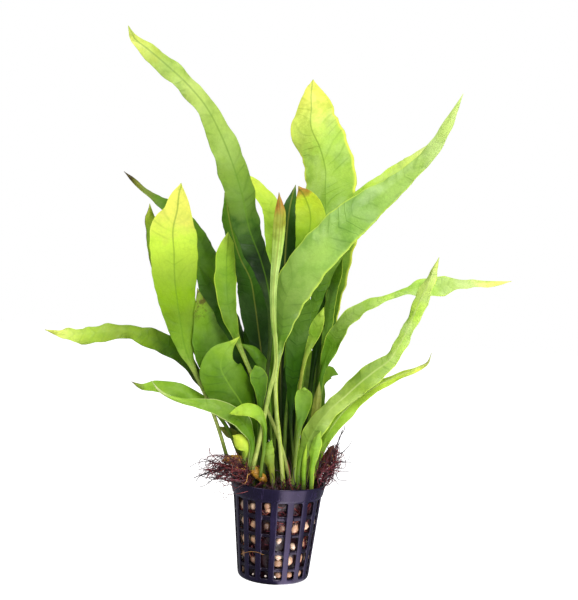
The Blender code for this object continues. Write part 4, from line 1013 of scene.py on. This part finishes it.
def make_gravel():
    """The stones of SHOWN_STONES, and behind the windows that the photo doesn't show, seeded ones."""
    rng = np.random.default_rng(SEED)
    shown = np.array(SHOWN_STONES)
    hidden = np.setdiff1d(np.arange(COLUMNS), shown[:, 0])
    count = 2 * len(hidden) * len(ROWS)
    seeded = np.column_stack([
        np.repeat(hidden, 2 * len(ROWS)),
        np.tile(np.arange(len(ROWS)), 2 * len(hidden)),
        rng.uniform(-STONE_ASIDE, STONE_ASIDE, count),
        rng.uniform(-STONE_UP, STONE_UP, count),
        rng.uniform(*STONE_RADII, count),
        rng.beta(2, 1.6, count),
    ])
    column, row, aside, up, size, tone = np.concatenate([shown, seeded[rng.random(count) < 0.5]]).T
    heights = np.array(ROWS)[::-1].mean(1)[row.astype(int)] + up
    depth = body_radius(heights) - WALL - size - STONE_GAP
    angles = np.radians(FIRST_COLUMN_DEG - 90 + 360 / COLUMNS * column) + aside / BODY_TOP_RADIUS
    points, faces, each = stones(round_about(depth, angles, heights), size, rng)
    none = np.zeros((0, 4), int)
    gravel = add_mesh("gravel_stones", points, none, faces, tones=np.repeat(tone, each))
    finish_piece(gravel, gravel_finish(), "gravel", "gravel_fill")


def root_finish(name, stops, rough):
    """Fibre colours by tone, with darker lengths and a dull wet gloss."""
    root = Finish(name)
    place = root.object_place()
    patch = root.noise(place, 300, 3)
    colour = root.ramp(root.attribute("tone"), stops)
    colour = root.tint(root.step(patch, 0.4, 0.65, 0.0, 0.6), colour, (0.4, 0.34, 0.34))
    bump = root.bump(root.noise(place, 1500, 2), 0.2 * MM, 0.6)
    return root.done(root.principled(Base_Color=colour, Roughness=rough, Normal=bump))


def make_core(material):
    """The dark tangle between the stones, near-black roots whose darkness is also painted shade of the pot's
    inside:
    a lumpy plug, its radius
        body - CORE_DEPTH + CORE_LUMPS * (sin 9a sin 0.5z + sin(5a + 0.8z) + sin(13a - 0.35z)) / 2."""
    angles = full_turn(96)
    heights = np.linspace(*CORE_LEVELS, 60)[:, None]
    lumps = (
        np.sin(9 * angles) * np.sin(0.5 * heights) + np.sin(5 * angles + 0.8 * heights)
        + np.sin(13 * angles - 0.35 * heights)
    ) / 2
    radii = body_radius(heights) - CORE_DEPTH + CORE_LUMPS * lumps
    points, quads, fans = skin(round_about(radii, -angles, heights)[None])
    # The tone 0.1 makes it near black: dark roots, with painted shade for the inside of the pot
    core = add_mesh("dark_tangle_in_the_gravel", points, quads, fans, tones=np.full(len(points), 0.1))
    finish_piece(core, material, "roots", "gravel_fill")


def tube(path, radii, beside, along, around):
    """Rings round each station of a path, of these radii. Beside is a unit vector across the path."""
    outward = np.cross(beside, along)
    angles = full_turn(around)[:, None]
    section = np.cos(angles) * beside[..., None, :] + np.sin(angles) * outward[..., None, :]
    return path[..., None, :] + section * radii[..., None]


def fibres(paths, radii, around=4):
    """Thin tubes along paths[fibre, station], of radii[fibre, station]."""
    along = unit(np.gradient(paths, axis=1))
    beside = unit(np.cross(along, unit(paths[:, -1:] - paths[:, :1] + (3.1, 2.3, 0.7))))
    return tube(paths, radii[..., None], beside, along, around)


def wiry_paths(starts, ends, curl, rng):
    """Paths from starts to ends that wander between them: each adds, for k = 1, 2 and 3, a chance vector of
    length about curl / k times sin(k pi t), with t from 0 to 1."""
    t = np.linspace(0, 1, ROOT_STATIONS)[:, None]
    paths = starts[:, None] * (1 - t) + ends[:, None] * t
    for k in (1, 2, 3):
        paths = paths + rng.normal(size=(len(starts), 1, 3)) * curl / k * np.sin(k * np.pi * t)
    return paths


def single_paths(strands, curl, rng):
    """Paths of single roots, and their radii."""
    strands = np.array(strands)
    return wiry_paths(strands[:, :3], strands[:, 3:6], curl, rng), strands[:, 6:]


def tuft(name, node, foot, head, arch, spread_by, count, curl, strands, curls, material, rng):
    """A sheaf of wiry roots from near foot to near head, arched by arch * 4t(1 - t), single ones that leave
    it, and golden ones that lie over it. Each root thins to 0.45 of its radius."""
    t = np.linspace(0, 1, ROOT_STATIONS)[:, None]
    starts = np.array(foot) + np.array(spread_by) * rng.normal(size=(count, 3))
    ends = np.array(head) + np.array(spread_by) * rng.normal(size=(count, 3)) * 2
    sheaf = wiry_paths(starts, ends, curl, rng) + 4 * t * (1 - t) * np.array(arch)
    single, single_thick = single_paths(strands, 0.9, rng)
    golden, golden_thick = single_paths(curls, 1.6, rng)
    thick = np.concatenate([rng.uniform(*TUFT_THICKNESS, (count, 1)), single_thick, golden_thick])
    rings = fibres(np.concatenate([sheaf, single, golden]), thick * np.linspace(1, 0.45, len(t)), 5)
    tones = np.repeat([0.15, 0.97], [len(single), len(golden)])
    tones = np.concatenate([rng.beta(1.7, 1.9, count) * 0.78, tones])
    piece = add_mesh(name, *skin(rings), tones=spread_tones(tones, rings))
    finish_piece(piece, material, "roots", node)


def make_root_mass(material, rng):
    """The mat in the pot's mouth: a lumpy dome, at its middle
        ROOT_TOP - 0.8 + 0.9 * (sin 0.9x sin 0.7y + sin(0.35x + 0.5y))
    high and lower at the rim, with fibres that lie in it and stand up from it."""
    share = np.concatenate([[1.0, 1.0], np.linspace(0.99, 0.02, 34)])[:, None]
    dome = round_about(MAT_RADIUS * share, -full_turn(120), 0.0)
    x, y = dome[..., 0], dome[..., 1]
    lumps = 0.9 * (np.sin(0.9 * x) * np.sin(0.7 * y) + np.sin(0.35 * x + 0.5 * y)) * ease(1 - share, 0, 0.15)
    dome[..., 2] = lumps + ROOT_TOP - 2.4 + 1.6 * ease(1 - share, 0, 0.3)
    dome[0, :, 2] = GRAVEL_TOP + 1
    dome, quads, fans = skin(dome[None])

    angle = rng.uniform(0, 2 * np.pi, MAT_FIBRES)
    radius = MAT_ROOTED * np.sqrt(rng.random(MAT_FIBRES))
    starts = round_about(radius, angle, ROOT_TOP - 1.8)
    reach = rng.normal(size=(MAT_FIBRES, 3)) * (4.5, 4.5, 0)
    reach[:, 2] = rng.gamma(1.8, 2.2, MAT_FIBRES)
    ends = starts + reach
    ends[:, :2] *= np.minimum(1, MAT_REACH / np.hypot(ends[:, 0], ends[:, 1]))[:, None]
    paths = wiry_paths(starts, ends, 1.1, rng)
    thick = rng.uniform(*MAT_THICKNESS, (MAT_FIBRES, 1)) * np.linspace(1, 0.5, ROOT_STATIONS)
    rings = fibres(paths, thick)
    points, strands, tips = skin(rings)
    tones = spread_tones(rng.beta(1.1, 4.2, MAT_FIBRES), rings)
    mat = add_mesh(
        "matted_roots", np.concatenate([dome, points]), np.concatenate([quads, strands + len(dome)]),
        np.concatenate([fans, tips + len(dome)]), tones=np.concatenate([np.full(len(dome), 0.04), tones]))
    finish_piece(mat, material, "roots", "root_mass")


def make_wall_roots(material, rng):
    """Roots that creep along the inside of the pot's wall and show in its windows, most of them high up, and
    the one tan hair that lies across the wall outside."""

    def chances():
        return rng.normal(size=(WALL_ROOTS, 1))

    t = np.linspace(0, 1, ROOT_STATIONS)
    angle = rng.uniform(0, 2 * np.pi, (WALL_ROOTS, 1)) + chances() * 0.45 * t
    height = WALL_ROOT_TOP - rng.gamma(1.5, 6.5, (WALL_ROOTS, 1))
    height = height + chances() * 5 * t
    for k in (1, 2, 3):
        angle = angle + chances() * 0.09 / k * np.sin(k * np.pi * t)
        height = height + chances() * 2.2 / k * np.sin(k * np.pi * t)
    height = np.clip(height, *WALL_ROOT_LEVELS)
    radius = body_radius(height) - WALL - rng.uniform(*WALL_ROOT_DEPTHS, (WALL_ROOTS, 1))
    paths = round_about(radius, angle, height)
    hair_height = HAIR_HEIGHT + HAIR_BOW * np.sin(np.linspace(-0.4, 2.4, ROOT_STATIONS))
    hair_angle = np.radians(np.linspace(*HAIR_DEG, ROOT_STATIONS))
    hair = round_about(body_radius(hair_height) + 0.2, hair_angle, hair_height)
    thick = np.append(rng.uniform(*WALL_THICKNESS, WALL_ROOTS), HAIR_RADIUS)[:, None]
    rings = fibres(np.concatenate([paths, hair[None]]), thick * np.linspace(1, 0.5, ROOT_STATIONS))
    tones = np.append(rng.beta(2.2, 2.4, WALL_ROOTS) * 0.9, 0.95)
    piece = add_mesh("roots_along_the_wall", *skin(rings), tones=spread_tones(tones, rings))
    finish_piece(piece, material, "roots", "gravel_fill")


def bark(name, stops):
    """Scaly bark, coloured in clouds."""
    finish = Finish(name)
    place = finish.object_place()
    scales = finish.cells(place, 1100)
    cloud = finish.noise(place, 190, 4)
    colour = finish.ramp(cloud, stops)
    colour = finish.tint(finish.step(scales, 0.3, 0.75, 0.0, 0.5), colour, (0.4, 0.3, 0.2))
    bump = finish.bump(scales, 0.4 * MM, 0.7)
    rough = finish.times_plus(cloud, 0.3, 0.25)
    return finish.done(finish.principled(Base_Color=colour, Roughness=rough, Normal=bump))


def make_stem(name, node, line, radii, stops):
    """A creeping stem: a round tube through its points, its radius uneven by
    0.05 * sin(2.4s + 1.5 sin a) + 0.03 * sin(5.3s + 3a), and rounded off at both ends."""
    at = np.linspace(0, 1, STEM_STATIONS)
    middle = smooth_through(np.column_stack([line, radii]), at, 3)
    radius = middle[:, 3:]
    middle = middle[:, :3]
    s = at[:, None] * 30
    angles = full_turn(STEM_AROUND)
    lump = 1 + 0.05 * np.sin(2.4 * s + 1.5 * np.sin(angles)) + 0.03 * np.sin(5.3 * s + 3 * angles)
    radius = radius * lump * np.sqrt(np.clip(np.minimum(at, 1 - at)[:, None] * 14, 0.12, 1))
    along = unit(np.gradient(middle, axis=0))
    beside = unit(np.cross((0.0, 1.0, 0.0), along))
    rings = tube(middle, radius, beside, along, STEM_AROUND)
    stem = add_mesh(name, *skin(rings[None]))
    finish_piece(stem, bark(name + "_skin", stops), "rhizome", node)


def make_roots():
    rng = np.random.default_rng(SEED)
    wet = root_finish("dark_wet_roots", ROOT_STOPS, 0.32)
    make_core(wet)
    make_root_mass(wet, rng)
    make_wall_roots(wet, rng)
    tuft("left_root_tuft", "root_tuft_left", (-17, -16.5, 54), (-33, -18.5, 57), (0, 0, 3.5),
         (2.5, 1.6, 1.9), 120, 3.3, LEFT_STRANDS, LEFT_CURLS, wet, rng)
    tuft("right_root_tuft", "root_tuft_right", (24, -9.5, 55), (28, -9, 68), (0.5, 0, 0),
         (1.3, 1.4, 2.3), 85, 2.6, RIGHT_STRANDS, RIGHT_CURLS, wet, rng)
    make_stem("golden_creeping_stem", "rhizome_left", LEFT_STEM, LEFT_STEM_RADII, LEFT_STEM_STOPS)
    make_stem("dark_creeping_stem", "rhizome_right", RIGHT_STEM, RIGHT_STEM_RADII, RIGHT_STEM_STOPS)


def make_stage():
    """A white world and floor, soft lamps, and the camera. To all but the camera the floor is grey, with a
    glowing strip painted into it, no lamp, that runs to the front right of the pot and gleams on its wall."""
    world = bpy.data.worlds.new("white studio")
    bpy.context.scene.world = world
    world.use_nodes = True
    sky = world.node_tree.nodes["Background"]
    sky.inputs["Color"].default_value = (1, 1, 1, 1)
    seen = world.node_tree.nodes.new("ShaderNodeLightPath")
    strength = world.node_tree.nodes.new("ShaderNodeMapRange")
    strength.inputs["To Min"].default_value = WORLD_LIGHT
    world.node_tree.links.new(seen.outputs["Is Camera Ray"], strength.inputs["Value"])
    world.node_tree.links.new(strength.outputs["Result"], sky.inputs["Strength"])
    paper = Finish("white_floor")
    place = paper.object_place()
    grain = paper.noise(place, 4, 2)
    tone = paper.mix(paper.times(grain, 0.1), (0.9, 0.9, 0.9), (0.86, 0.86, 0.86))
    white = paper.principled(
        Base_Color=tone, Roughness=0.9, Specular_IOR_Level=0.1, Emission_Color=(1, 1, 1),
        Emission_Strength=FLOOR_GLOW)
    # A glowing strip painted into the floor for all but the camera: floor emission, no lamp, to the front
    # right of the pot, whose wall reflects it as a highlight
    x, y = paper.parts(place)
    aside = paper.math("DIVIDE", x, paper.times(y, -1))
    glowing_strip = paper.times(paper.step(aside, 0.1, 0.25), paper.step(aside, 0.5, 0.8, 1.0, 0.6))
    glowing_strip = paper.times(glowing_strip, paper.step(aside, 1.5, 3.5, 1.0, 0.0))
    near = paper.times(paper.step(y, -0.4, -0.2), paper.step(y, -0.02, 0.0, 1.0, 0.0))
    glowing_strip = paper.times(paper.times(glowing_strip, near), FLOOR_STRIP_GLOW)
    dim = paper.principled(
        Base_Color=(0.3, 0.3, 0.34), Roughness=0.9, Emission_Color=(0.93, 0.9, 1.0), Emission_Strength=glowing_strip)
    camera_ray = paper.node("LightPath", {}).outputs["Is Camera Ray"]
    shown = paper.node("MixShader", {0: camera_ray, 1: dim, 2: white}).outputs[0]
    paper.material.cycles.emission_sampling = "NONE"
    quad = np.array([[0, 1, 2, 3]])
    floor = add_mesh("studio_floor", np.array(FLOOR_CORNERS), quad, np.zeros((0, 3), int))
    floor.data.materials.append(paper.done(shown))
    for name, energy, size, place, aim in LAMPS:
        data = bpy.data.lights.new(name, "AREA")
        data.energy = energy
        data.size = size
        lamp = bpy.data.objects.new(name, data)
        bpy.context.scene.collection.objects.link(lamp)
        lamp.location = place
        away = Vector(place) - Vector(aim)
        lamp.rotation_euler = away.to_track_quat("Z", "Y").to_euler()
    scene = bpy.context.scene
    scene.view_settings.view_transform = "Standard"
    scene.view_settings.look = "None"
    data = bpy.data.cameras.new("photo camera")
    data.lens = CAMERA_LENS
    data.sensor_width = SENSOR_WIDTH
    data.clip_start = 0.01
    camera = bpy.data.objects.new("photo camera", data)
    scene.collection.objects.link(camera)
    camera.matrix_world = (
        Matrix.Translation((0, -VIEW_DISTANCE * MM, VIEW_HEIGHT * MM))
        @ Matrix.Rotation(math.radians(90), 4, "X")
        @ Matrix.Rotation(math.radians(CAMERA_ROLL_DEG), 4, "Z")
    )
    scene.camera = camera


make_pot()
make_gravel()
make_roots()
for seed, leaf in enumerate(LEAVES):
    make_leaf(leaf, LOOKS[leaf.name], seed)
make_stage()
